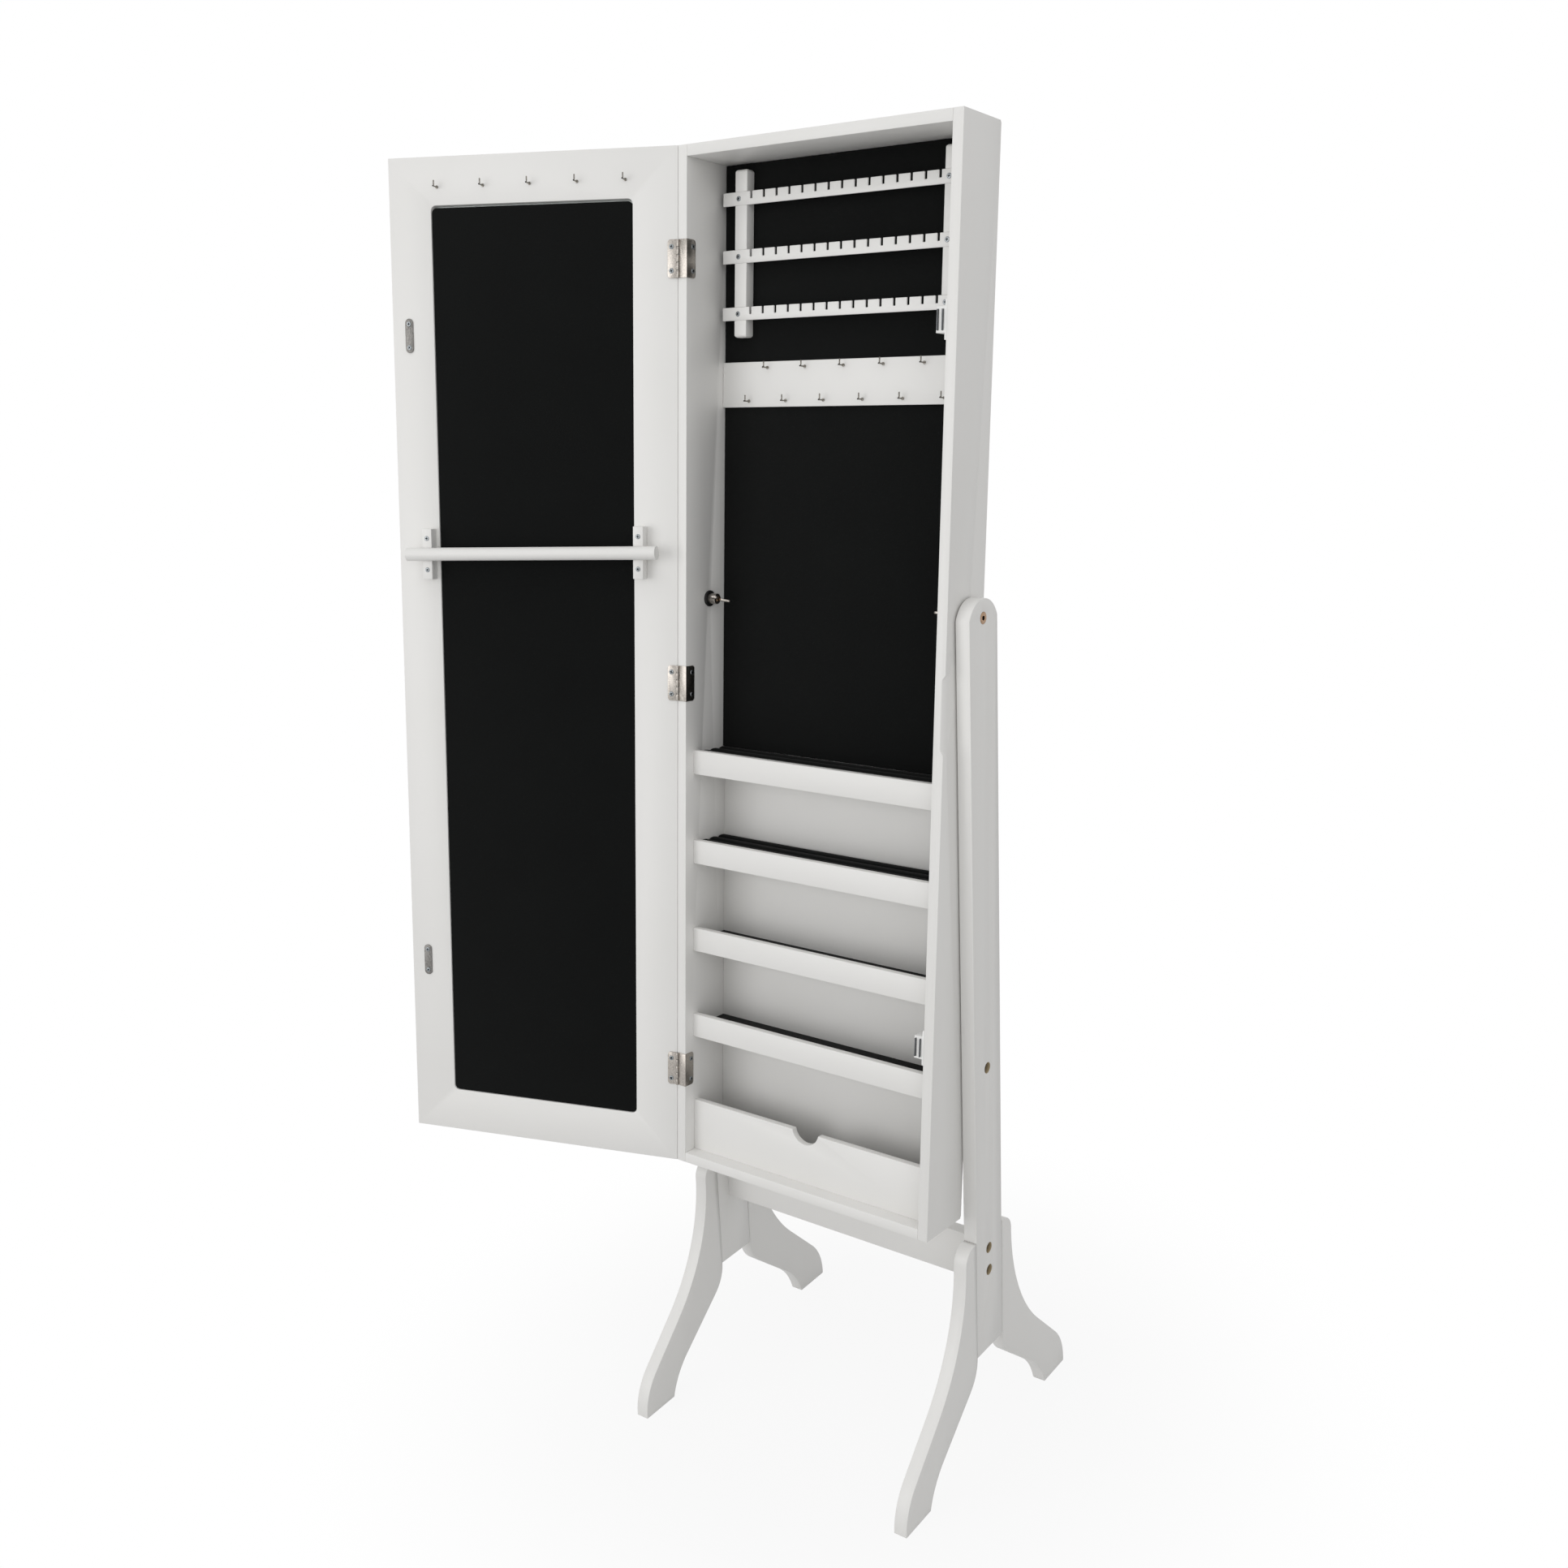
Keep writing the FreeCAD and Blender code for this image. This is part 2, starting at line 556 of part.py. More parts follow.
def make_batten(side, sign):
    """An upright batten with rounded ends, housed flush for the three rails."""
    label = f"earring_batten_{side}"
    low = (sign * size.batten_spacing / 2 - size.batten_width / 2, RACK_FRONT,
           size.rack_height - size.batten_length / 2)
    bar = block(f"{label}_bar", low, "batten_width", "batten_depth", "batten_length")
    doc.recompute()
    ends = (low[2], low[2] + size.batten_length)
    rounding = doc.addObject("Part::Fillet", f"{label}_rounded")
    rounding.Base = bar
    rounding.Edges = [
        (i, size.batten_rounding, size.batten_rounding) for i, edge in enumerate(bar.Shape.Edges, start=1)
        if all(abs(v.Z - end) < 0.001 for v in edge.Vertexes for end in ends[:1])
        or all(abs(v.Z - end) < 0.001 for v in edge.Vertexes for end in ends[1:])]
    housings = [block(f"{label}_housing_{name}", (low[0], RACK_FRONT, level - size.rail_height / 2),
                      "batten_width", "rail_thickness", "rail_height")
                for name, level in RAIL_LEVELS.items()]
    keep(cut(label, rounding, housings), CABINET)


def make_earring_rail(name, level):
    """A slim rail with a row of slots along its top edge."""
    label = f"earring_rail_{name}"
    half, tall = size.rail_length / 2, size.rail_height / 2
    body = doc.addObject("PartDesign::Body", label)
    outline = sketch_on(body, f"{label}_outline", "XZ_Plane", [rectangle(-half, half, -tall, tall)])
    strip = body.newObject("PartDesign::Pad", f"{label}_strip")
    strip.Profile = outline
    bind(strip, Length="rail_thickness")
    first = -(size.slot_count - 1) / 2 * size.slot_pitch
    slot_outline = rectangle(first - size.slot_width / 2, first + size.slot_width / 2,
                             tall - size.slot_depth, tall)
    profile = sketch_on(body, f"{label}_slot_outline", "XZ_Plane", [slot_outline])
    slot = body.newObject("PartDesign::Pocket", f"{label}_slot")
    slot.Profile = profile
    slot.Type = "ThroughAll"
    slot.Reversed = True
    doc.recompute()
    row = body.newObject("PartDesign::LinearPattern", f"{label}_slots")
    row.Originals = [slot]
    row.Direction = (profile, ["H_Axis"])
    bind(row, Length="slot_pitch * (slot_count - 1)", Occurrences="slot_count")
    body.Tip = row
    keep(body, CABINET.multiply(Placement(Vector(0, RACK_FRONT + size.rail_thickness, level), Rotation())))


def hook_row(count):
    return [(i - (count - 1) / 2) * size.hook_spacing for i in range(int(count))]


def make_lined_back():
    low_z = floor_level(1) + size.roll_height + size.lining_gap
    blank = block("felt_back", (-INSIDE + size.lining_gap, FELT_FACE, low_z), LINED, "felt_board",
                  "cabinet_height - board_thickness - lining_gap - (lowest_lip"
                  " + (shelf_count - 1) * shelf_pitch + shelf_thickness + roll_height + lining_gap)")
    keep(blank, CABINET)
    for side, sign in SIDES.items():
        make_batten(side, sign)
    for name, level in RAIL_LEVELS.items():
        make_earring_rail(name, level)
    face = FELT_FACE - size.hook_rail_thickness
    low = (-INSIDE + size.lining_gap, face, size.hook_rail_level - size.hook_rail_height / 2)
    keep(block("hook_rail", low, LINED, "hook_rail_thickness", "hook_rail_height"), CABINET)
    rows = ((size.upper_hook_count, size.hook_row_offset), (size.lower_hook_count, -size.hook_row_offset))
    hooks = [hook((x, face, size.hook_rail_level + offset), Rotation())
             for count, offset in rows for x in hook_row(count)]
    keep(shaped("rail_hooks", Part.makeCompound(hooks)), CABINET)


# Hinges and catches

HINGE_LEVELS = {"top": size.cabinet_height / 2 + size.hinge_offset, "middle": size.cabinet_height / 2,
                "bottom": size.cabinet_height / 2 - size.hinge_offset}
LEAF_START = size.hinge_knuckle_radius + size.knuckle_gap
CORNER = size.board_thickness - size.hinge_inset
CATCH_LEVELS = (size.catch_upper, size.catch_lower)


def knuckles(level, first):
    """Every second knuckle of a hinge, from the first named, with the tab that joins it to the leaf."""
    count = int(size.knuckle_count)
    length = size.hinge_height / count
    bottom = level - size.hinge_height / 2
    rings, tabs = [], []
    for i in range(first, count, 2):
        low = bottom + i * length + size.knuckle_gap / 2
        tall = length - size.knuckle_gap
        rings.append(prism(size.hinge_knuckle_radius, 12, tall).translated(Vector(0, 0, low)))
        tabs.append((low, tall))
    return rings, tabs


def hinge_leaf(level, first, plates, tab_y):
    """Plates and knuckles made one, bored for the pin."""
    rings, tabs = knuckles(level, first)
    joins = [Part.makeBox(LEAF_START, size.hinge_leaf, tall, Vector(0, tab_y, low)) for low, tall in tabs]
    leaf = plates[0].fuse(plates[1:] + rings + joins)
    clear_flats = (size.hinge_pin_radius + size.running_clearance) / math.cos(math.pi / 8)
    bore = prism(clear_flats, 8, size.hinge_height).translated(Vector(0, 0, level - size.hinge_height / 2))
    return leaf.cut(bore).removeSplitter()


def make_hinges():
    """Leaves cranked round the cabinet's rim, flat leaves on the door and the pins between them."""
    pins = []
    axis = CABINET.multiply(Placement(Vector(HINGE_X, HINGE_Y, 0), Rotation()))
    thick, tall = size.hinge_leaf, size.hinge_height
    rim_y = size.hinge_stand_off - thick
    for name, level in HINGE_LEVELS.items():
        bottom = level - tall / 2
        rim = Part.makeBox(CORNER + thick - LEAF_START, thick, tall, Vector(LEAF_START, rim_y, bottom))
        wall = Part.makeBox(thick, thick + size.hinge_wall_depth, tall, Vector(CORNER, rim_y, bottom))
        leaf = hinge_leaf(level, 0, [rim, wall], rim_y)
        keep(shaped(f"hinge_cabinet_leaf_{name}", leaf), axis)
        door_plate = Part.makeBox(size.hinge_leaf_width - LEAF_START, thick, tall,
                                  Vector(LEAF_START, -size.hinge_stand_off, bottom))
        leaf = hinge_leaf(level, 1, [door_plate], -size.hinge_stand_off)
        keep(shaped(f"hinge_door_leaf_{name}", leaf), DOOR)
        pins.append(prism(size.hinge_pin_radius, 8, tall).translated(Vector(0, 0, bottom)))
    keep(shaped("hinge_pins", Part.makeCompound(pins)), axis)


def make_catches():
    """Plastic catch bodies on the right wall, each with a magnet between two steel plates."""
    bodies, plates, magnets = [], [], []
    low_x = INSIDE - size.catch_width
    front = size.catch_setback
    pair = size.magnet_thickness + 2 * size.plate_thickness
    plate_x = low_x + (size.catch_width - size.catch_ear - pair) / 2
    for level in CATCH_LEVELS:
        case = Part.makeBox(size.catch_width, size.catch_depth, size.catch_height,
                            Vector(low_x, front, level - size.catch_height / 2))
        ear = Part.makeBox(size.catch_ear, size.catch_depth, size.catch_ear_height,
                           Vector(INSIDE - size.catch_ear, front, level - size.catch_ear_height / 2))
        low = level - size.plate_height / 2
        pocket = Part.makeBox(pair, size.plate_sink, size.plate_height, Vector(plate_x, front, low))
        face = Part.makeBox(size.magnet_thickness, size.catch_face, size.plate_height,
                            Vector(plate_x + size.plate_thickness, front, low))
        bodies.append(case.fuse(ear).cut(pocket.cut(face)).removeSplitter())
        for x in (plate_x, plate_x + size.plate_thickness + size.magnet_thickness):
            plates.append(Part.makeBox(size.plate_thickness, size.plate_sink + size.plate_proud,
                                       size.plate_height, Vector(x, front - size.plate_proud, low)))
        magnets.append(Part.makeBox(size.magnet_thickness, size.plate_sink - size.catch_face,
                                    size.plate_height,
                                    Vector(plate_x + size.plate_thickness, front + size.catch_face, low)))
    for label, pieces in (("catch_bodies", bodies), ("catch_plates", plates), ("catch_magnets", magnets)):
        keep(shaped(label, Part.makeCompound(pieces)), CABINET)


# Door

DOOR_FACE = -size.hinge_stand_off
DOOR_LEFT = size.door_edge_gap
DOOR_RIGHT = size.door_edge_gap + size.door_width
DOOR_MIDDLE = (DOOR_LEFT + DOOR_RIGHT) / 2
ROD_Y = DOOR_FACE + size.rod_stand_off
STRIKE_X = DOOR_RIGHT - size.strike_inset
HALF_ROUND = Rotation(Vector(0, 0, 1), 180)


def door_opening(margin, drop=0):
    """The rounded opening that leaves a margin all round the door, and a drop more at its top."""
    return rounded_rectangle(DOOR_LEFT + margin, DOOR_RIGHT - margin, margin,
                             size.cabinet_height - margin - drop, size.door_corner_radius)


def padded_body(label, outlines, thickness, y):
    """A flat body of the given outlines, its inner face at y and its thickness towards the front."""
    body = doc.addObject("PartDesign::Body", label)
    pad = body.newObject("PartDesign::Pad", f"{label}_pad")
    pad.Profile = sketch_on(body, f"{label}_outline", "XZ_Plane", outlines)
    bind(pad, Length=thickness)
    body.Placement = Placement(Vector(0, y, 0), Rotation())
    return body


def make_door_frame():
    """One board with a front lip round the mirror and a deeper rabbet behind it."""
    outer = rectangle(DOOR_LEFT, DOOR_RIGHT, 0, size.cabinet_height)
    lip = door_opening(size.door_stile + size.door_lip_width)
    body = padded_body("door_frame", [outer, lip], "door_thickness", DOOR_FACE)
    rabbet = door_opening(size.door_stile)
    pocket = body.newObject("PartDesign::Pocket", "door_frame_rabbet")
    pocket.Profile = sketch_on(body, "door_frame_rabbet_outline", "XZ_Plane", [rabbet])
    bind(pocket, Length="door_thickness - door_lip_thickness")
    pocket.Reversed = True
    body.Tip = pocket
    keep(body, DOOR)


def make_door_panels():
    """The mirror behind the lip and the felt-covered board that holds it there."""
    margin = size.door_stile + size.panel_clearance
    felt_y = DOOR_FACE - size.door_thickness + size.door_lip_thickness + size.mirror_thickness
    lining = door_opening(margin, size.door_felt_drop)
    felt = padded_body("door_felt", [lining], "door_felt_thickness", felt_y + size.door_felt_thickness)
    keep(felt, DOOR)
    keep(padded_body("mirror_glass", [door_opening(margin)], "mirror_thickness", felt_y), DOOR)


def make_door_fittings():
    count = size.door_hook_count
    level = size.cabinet_height - size.door_hook_drop
    hooks = []
    for i in range(int(count)):
        x = DOOR_MIDDLE + (i - (count - 1) / 2) * size.door_hook_spacing
        hooks.append(hook((x, DOOR_FACE, level), HALF_ROUND))
    keep(shaped("door_hooks", Part.makeCompound(hooks)), DOOR)

    slope = math.degrees(math.atan2(size.rod_skew, size.block_spacing))
    along_rod = Rotation(Vector(0, 1, 0), 90 + slope)
    middle = Vector(DOOR_MIDDLE, ROD_Y, size.rod_height)
    rod_start = middle - along_rod.multVec(Vector(0, 0, size.rod_length / 2))
    bar = cylinder("bracelet_rod_bar", rod_start, along_rod, "rod_diameter / 2", "rod_length")
    doc.recompute()
    rod = doc.addObject("Part::Chamfer", "bracelet_rod")
    rod.Base = bar
    rod.Edges = [(i, size.rod_rounding, size.rod_rounding) for i, edge in enumerate(bar.Shape.Edges, start=1)
                 if len(edge.Vertexes) == 1]
    keep(rod, DOOR)

    for side, sign in SIDES.items():
        x = DOOR_MIDDLE + sign * size.block_spacing / 2
        centre = size.rod_height - sign * size.rod_skew / 2
        low = (x - size.block_width / 2, DOOR_FACE, centre - size.block_height / 2)
        blank = block(f"rod_block_{side}_blank", low, "block_width", "block_depth", "block_height")
        saddle = cylinder(f"rod_block_{side}_saddle", rod_start, along_rod,
                          "rod_diameter / 2 + running_clearance", "rod_length")
        keep(cut(f"rod_block_{side}", blank, [saddle]), DOOR)

    strikes = []
    for level in CATCH_LEVELS:
        half, end = size.strike_width / 2, size.strike_height / 2
        straight = size.strike_height - size.strike_width
        plate = Part.makeBox(size.strike_width, size.strike_thickness, straight,
                             Vector(STRIKE_X - half, DOOR_FACE, level - end + half))
        rounds = [Part.makeCylinder(half, size.strike_thickness,
                                    Vector(STRIKE_X, DOOR_FACE, level + way * (end - half)), Vector(0, 1, 0))
                  for way in (-1, 1)]
        strikes.append(plate.fuse(rounds).removeSplitter())
    keep(shaped("strike_plates", Part.makeCompound(strikes)), DOOR)


# Assembly

for side, sign in SIDES.items():
    make_upright(side, sign)
    make_leg("front", -1, side, sign)
    make_leg("rear", 1, side, sign)
    make_wing_nut(side, sign)
make_stretcher()
make_stand_fasteners()
make_carcass()
make_shelves()
make_lined_back()
make_hinges()
make_catches()
make_door_frame()
make_door_panels()
make_door_fittings()

doc.recompute()

for obj in doc.Objects:
    if "Invalid" in obj.State or "Error" in obj.State:
        raise RuntimeError(f"{obj.Label} failed to build: {obj.State}")
for piece in nodes:
    if piece.Shape.isNull() or not piece.Shape.isValid():
        raise RuntimeError(f"{piece.Label} has no valid shape")

os.makedirs("parts", exist_ok=True)
for piece in nodes:
    piece.Shape.exportStep(f"parts/{piece.Label}.step")
print(len(nodes), "pieces written")
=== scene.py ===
"""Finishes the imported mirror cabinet: paint, felt, mirror, metal fittings, stage and camera."""

import json
import math

import bpy
from mathutils import Matrix, Vector


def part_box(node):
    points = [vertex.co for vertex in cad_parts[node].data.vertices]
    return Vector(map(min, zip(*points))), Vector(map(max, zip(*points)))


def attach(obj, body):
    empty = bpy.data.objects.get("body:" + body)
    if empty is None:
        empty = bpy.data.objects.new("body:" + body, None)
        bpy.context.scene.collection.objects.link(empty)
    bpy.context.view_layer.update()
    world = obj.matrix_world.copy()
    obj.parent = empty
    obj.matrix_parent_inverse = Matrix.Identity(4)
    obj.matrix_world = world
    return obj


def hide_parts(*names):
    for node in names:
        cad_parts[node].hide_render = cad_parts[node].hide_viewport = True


bl_info = {
    "name": "Mirror Cabinet Finishing",
    "version": (1, 0, 0),
    "blender": (4, 5, 0),
    "location": "View3D > Sidebar > Mirror Cabinet",
    "description": "Dresses a tilting jewellery cabinet with paint, felt, mirror glass and metal fittings",
    "category": "Object",
}

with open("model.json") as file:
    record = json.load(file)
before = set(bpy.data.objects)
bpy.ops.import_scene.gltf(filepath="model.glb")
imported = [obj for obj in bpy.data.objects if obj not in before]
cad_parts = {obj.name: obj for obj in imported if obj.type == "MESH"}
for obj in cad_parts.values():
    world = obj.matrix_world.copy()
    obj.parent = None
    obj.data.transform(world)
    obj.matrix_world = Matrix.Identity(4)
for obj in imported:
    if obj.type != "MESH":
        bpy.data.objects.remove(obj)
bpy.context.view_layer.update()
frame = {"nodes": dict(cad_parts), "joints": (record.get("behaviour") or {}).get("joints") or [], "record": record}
JOINTS = {joint["name"]: joint for joint in frame["joints"]}

MM = 0.001
# Points closer than this count as being at the same place, and corners closer than the second are merged.
SAME_PLACE = 0.1 * MM
MERGED = 0.002 * MM
# Edges that turn by more than this are eased, shading is smooth up to the second, and faces that
# turn by less than the third are one flat face.
SHARP = math.radians(35)
SMOOTH = math.radians(40)
FLAT = math.radians(0.5)

# Nodes of the frame by what they are made of.
BOARDS = (
    "side_panel_left", "side_panel_right", "top_panel", "bottom_panel", "back_panel", "hook_rail",
    "shelf_1", "shelf_2", "shelf_3", "shelf_4", "shelf_lip_1", "shelf_lip_2", "shelf_lip_3", "shelf_lip_4",
    "bin_front", "door_frame", "rod_block_left", "rod_block_right", "bracelet_rod",
    "earring_batten_left", "earring_batten_right",
    "earring_rail_top", "earring_rail_middle", "earring_rail_bottom",
    "stretcher",
)
LEGS = ("front_leg_left", "front_leg_right", "rear_leg_left", "rear_leg_right")
UPRIGHTS = ("upright_left", "upright_right")
LININGS = ("felt_back", "door_felt", "shelf_felts")
ROLLS = ("ring_roll_1", "ring_roll_2")
LEVELS = ("top", "middle", "bottom")
SIDES = ("left", "right")


def box_in(node, matrix):
    """A node's lowest and highest corners in the frame that a matrix gives."""
    inverse = matrix.inverted()
    points = [inverse @ v.co for v in frame["nodes"][node].data.vertices]
    return (Vector(min(p[i] for p in points) for i in range(3)),
            Vector(max(p[i] for p in points) for i in range(3)))


# Frames of the two moving bodies, read from the joints. The cabinet's has x to the
# right from its middle, y back from its front rim and z up from its bottom. The
# door's has x along the door from the hinge axis and y towards the shut cabinet.
SWING_AXIS = Vector(JOINTS["door_swing"]["axis"])
SWING_POINT = Vector(JOINTS["door_swing"]["pos_m"])
LEAN = Matrix.Rotation(-math.atan2(SWING_AXIS.y, SWING_AXIS.z), 4, "X")
LOW_LEFT = box_in("side_panel_left", LEAN)[0]
CABINET = LEAN @ Matrix.Translation((0, LOW_LEFT.y, LOW_LEFT.z))
HINGE_LINE = CABINET.inverted() @ SWING_POINT
OPENING = math.radians(JOINTS["door_swing"]["range_deg"][1])
DOOR = CABINET @ Matrix.Translation((HINGE_LINE.x, HINGE_LINE.y, 0)) @ Matrix.Rotation(-OPENING, 4, "Z")


# Sizes, colours and view

def linear(code):
    """The linear colour of an sRGB hex code."""
    channels = [int(code[i:i + 2], 16) / 255 for i in (1, 3, 5)]
    return tuple(c / 12.92 if c <= 0.04045 else ((c + 0.055) / 1.055) ** 2.4 for c in channels) + (1.0,)


def length(name, description, millimetres):
    return bpy.props.FloatProperty(name=name, description=description, default=millimetres * MM,
                                   unit="LENGTH")


def count(name, description, number):
    return bpy.props.IntProperty(name=name, description=description, default=number)


def angle(name, description, degrees):
    return bpy.props.FloatProperty(name=name, description=description, default=math.radians(degrees),
                                   unit="ROTATION")


def colour(name, description, code):
    return bpy.props.FloatVectorProperty(name=name, description=description, default=linear(code), size=4,
                                         subtype="COLOR", min=0, max=1)


class CabinetSizes(bpy.types.PropertyGroup):
    """Sizes of what is added to the frame."""
    board_ease: length("Board ease", "Rounding of the painted boards' edges", 0.6)
    joint_line: length("Joint line", "Width of the line between a leg and its upright", 0.55)
    metal_ease: length("Metal ease", "Rounding of the metal fittings' edges", 0.2)
    strike_ease: length("Strike ease", "Rounding of the strike plates' edges", 0.4)
    wing_ease: length("Wing ease", "Rounding of the wing nuts' edges", 0.5)
    plastic_ease: length("Plastic ease", "Rounding of the catch bodies' edges", 0.3)
    glass_ease: length("Glass ease", "Rounding of the mirror's edges", 0.3)
    felt_ease: length("Felt ease", "Rounding of the felt-covered boards' edges", 0.8)
    felt_tuck: length("Felt tuck", "How far the back lining runs down behind the ring rolls", 3)
    felt_loft: length("Felt loft", "How far the soft shelf felts swell above their solids", 2.1)
    bin_felt: length("Bin felt", "Thickness of the felt on the bin's floor", 2)
    leaf_corner: length("Leaf corner", "Radius of the hinge leaves' corners", 3.5)
    leaf_plate: length("Leaf plate", "Thickness of a hinge leaf", 1)
    leaf_screw_inset: length("Leaf screw inset", "From a hinge leaf's free edge to its screws", 4.5)
    leaf_screw_spacing: length("Leaf screw spacing", "Between the two screws of a hinge leaf", 25)
    barrel: length("Barrel", "What lies this close to the hinge line belongs to a knuckle", 2.2)
    knuckle_count: count("Knuckles", "Knuckles of a hinge", 5)
    knuckle_gap: length("Knuckle gap", "How much shorter a knuckle is at each of its inner ends", 0.25)
    strike_height: length("Strike height", "Height of a strike plate", 38)
    strike_screw_spacing: length("Strike screw spacing", "Between the two screws of a strike plate", 26)
    block_screw_spacing: length("Block screw spacing", "Between the two screws of a rod block", 36)
    screw_head: length("Screw head", "Diameter of the cross-head wood screws", 5.6)
    screw_dome: length("Screw dome", "How far a screw head stands proud", 0.7)
    screw_slot: length("Screw slot", "Width of the cross in a screw head", 0.9)
    screw_turn: angle("Screw turn", "How much further each screw is turned than the last", 47)
    rod_trim: length("Rod trim", "How much shorter than its solid the rod is sawn at each end", 3)
    hook_wire: length("Hook wire", "Diameter of the hooks' wire", 1.5)
    hook_bend: length("Hook bend", "Radius of the bend in a hook", 2)
    hook_collar: length("Hook collar", "Diameter of a hook's collar", 3.6)
    collar_depth: length("Collar depth", "Thickness of a hook's collar", 1)
    collar_ease: length("Collar ease", "Rounding of a collar's edges", 0.35)
    bolt_socket: length("Bolt socket", "Across the flats of a bolt's hexagon socket", 4.5)
    socket_depth: length("Socket depth", "How deep a bolt's socket is looked for", 6)
    spare_hole: length("Spare hole", "Height of the uprights' third hole", 478)
    roll_count: count("Rolls", "Padded rolls side by side on a shelf", 3)
    roll_swell: length("Roll swell", "By how much a roll is cut smaller than the space it fills", 1)
    roll_give: length("Roll give", "How far the felt of a roll may move while it is stuffed", 2.5)
    roll_weave: length("Roll weave", "Width of the meshes of a roll's felt", 4)


class CabinetColours(bpy.types.PropertyGroup):
    """Colours of the finishes."""
    paint: colour("Paint", "White satin paint", "#EAE9E7")
    paint_shade: colour("Paint shade", "Where the paint lies thinner", "#E5E4E1")
    fibreboard: colour("Fibreboard", "Raw board inside the drilled holes", "#C6B491")
    felt: colour("Felt", "Tips of the felt's pile", "#0F1110")
    felt_shade: colour("Felt shade", "Depth of the felt's pile", "#060707")
    nickel: colour("Nickel", "Nickel plating of hinges and wing nuts", "#B7B1AA")
    # Painted shade: the hooks' nickel drawn darker than the hinges' for their tight curves.
    hook: colour("Hook", "Nickel plating of the wire hooks", "#8F8B84")
    zinc: colour("Zinc", "Zinc plating of the strike plates", "#8D8B88")
    screw: colour("Screw", "Zinc of the wood screws", "#999EA1")
    brassy_zinc: colour("Yellow zinc", "Yellow-passivated pivot bolts", "#B4957A")
    # Painted shade: the dark colour drawn inside the bolts' sockets and the screws' crosses, where shade falls.
    socket: colour("Socket", "Oxide and grease in the bolts' sockets", "#1B1816")
    steel: colour("Steel", "Plates of the magnetic catches", "#6E7072")
    nylon: colour("Nylon", "Black washers", "#141414")
    plastic: colour("Plastic", "Moulded catch bodies", "#ECECEA")
    silver: colour("Silver", "Silvering of the mirror", "#E6ECEA")
    floor: colour("Floor", "Studio floor", "#C8C8C8")


class CabinetView(bpy.types.PropertyGroup):
    """The photograph's camera."""
    place: bpy.props.FloatVectorProperty(name="Place", description="Where the camera stands",
                                         default=(0.97945, -1.40782, 1.24895), unit="LENGTH")
    azimuth: angle("Azimuth", "Turn to the right of the front", 36.639)
    elevation: angle("Elevation", "Downward look", 15.387)
    roll: angle("Roll", "Tilt of the frame", -2.501)
    lens: bpy.props.FloatProperty(name="Lens", description="Focal length in millimetres", default=36.785)
    film: bpy.props.FloatProperty(name="Film", description="Width of the film in millimetres", default=36)


def chosen(context):
    """The sizes and colours that the panel shows."""
    return context.scene.cabinet_sizes, context.scene.cabinet_colours


# Materials

def set_inputs(tree, node, inputs):
    """Gives a node's inputs values or other nodes' outputs."""
    for socket, value in inputs.items():
        if isinstance(value, bpy.types.NodeSocket):
            tree.links.new(value, node.inputs[socket])
        else:
            node.inputs[socket].default_value = value


def add_node(tree, kind, inputs=None, **settings):
    """Adds a shader node with its settings and its inputs."""
    node = tree.nodes.new("ShaderNode" + kind)
    for name, value in settings.items():
        setattr(node, name, value)
    set_inputs(tree, node, inputs or {})
    return node


def new_finish(name):
    """A material, and for a new one its nodes, its shader and the object's own coordinates."""
    material = bpy.data.materials.get(name)
    if material:
        return material, None, None, None
    material = bpy.data.materials.new(name)
    material.use_nodes = True
    tree = material.node_tree
    place = add_node(tree, "TexCoord").outputs["Object"]
    return material, tree, tree.nodes["Principled BSDF"], place


def per_metre(millimetres):
    """A texture's scale for features of a real size."""
    return 1 / (millimetres * MM)


def darker(tone, share):
    """A colour at a share of its strength."""
    return tuple(share * c for c in tone[:3]) + (1.0,)


def satin_paint(colours):
    """Sprayed satin polyurethane on fibreboard: soft gloss, faint orange peel, barely uneven white."""
    material, tree, shader, place = new_finish("satin_polyurethane_paint")
    if tree:
        # The coat varies over a hand's breadth, and its orange peel is about 2 mm wide.
        coat = add_node(tree, "TexNoise", {"Vector": place, "Scale": per_metre(120), "Detail": 3})
        tint = add_node(tree, "Mix", {
            "Factor": coat.outputs["Fac"], "A": tuple(colours.paint_shade), "B": tuple(colours.paint),
        }, data_type="RGBA")
        gloss = add_node(tree, "MapRange", {"Value": coat.outputs["Fac"], "To Min": 0.38, "To Max": 0.5})
        peel = add_node(tree, "TexNoise", {"Vector": place, "Scale": per_metre(2.2), "Detail": 2})
        bump = add_node(tree, "Bump", {
            "Height": peel.outputs["Fac"], "Strength": 0.06, "Distance": 0.15 * MM,
        })
        set_inputs(tree, shader, {
            "Base Color": tint.outputs["Result"], "Roughness": gloss.outputs["Result"],
            "Normal": bump.outputs["Normal"], "IOR": 1.5,
        })
    return material


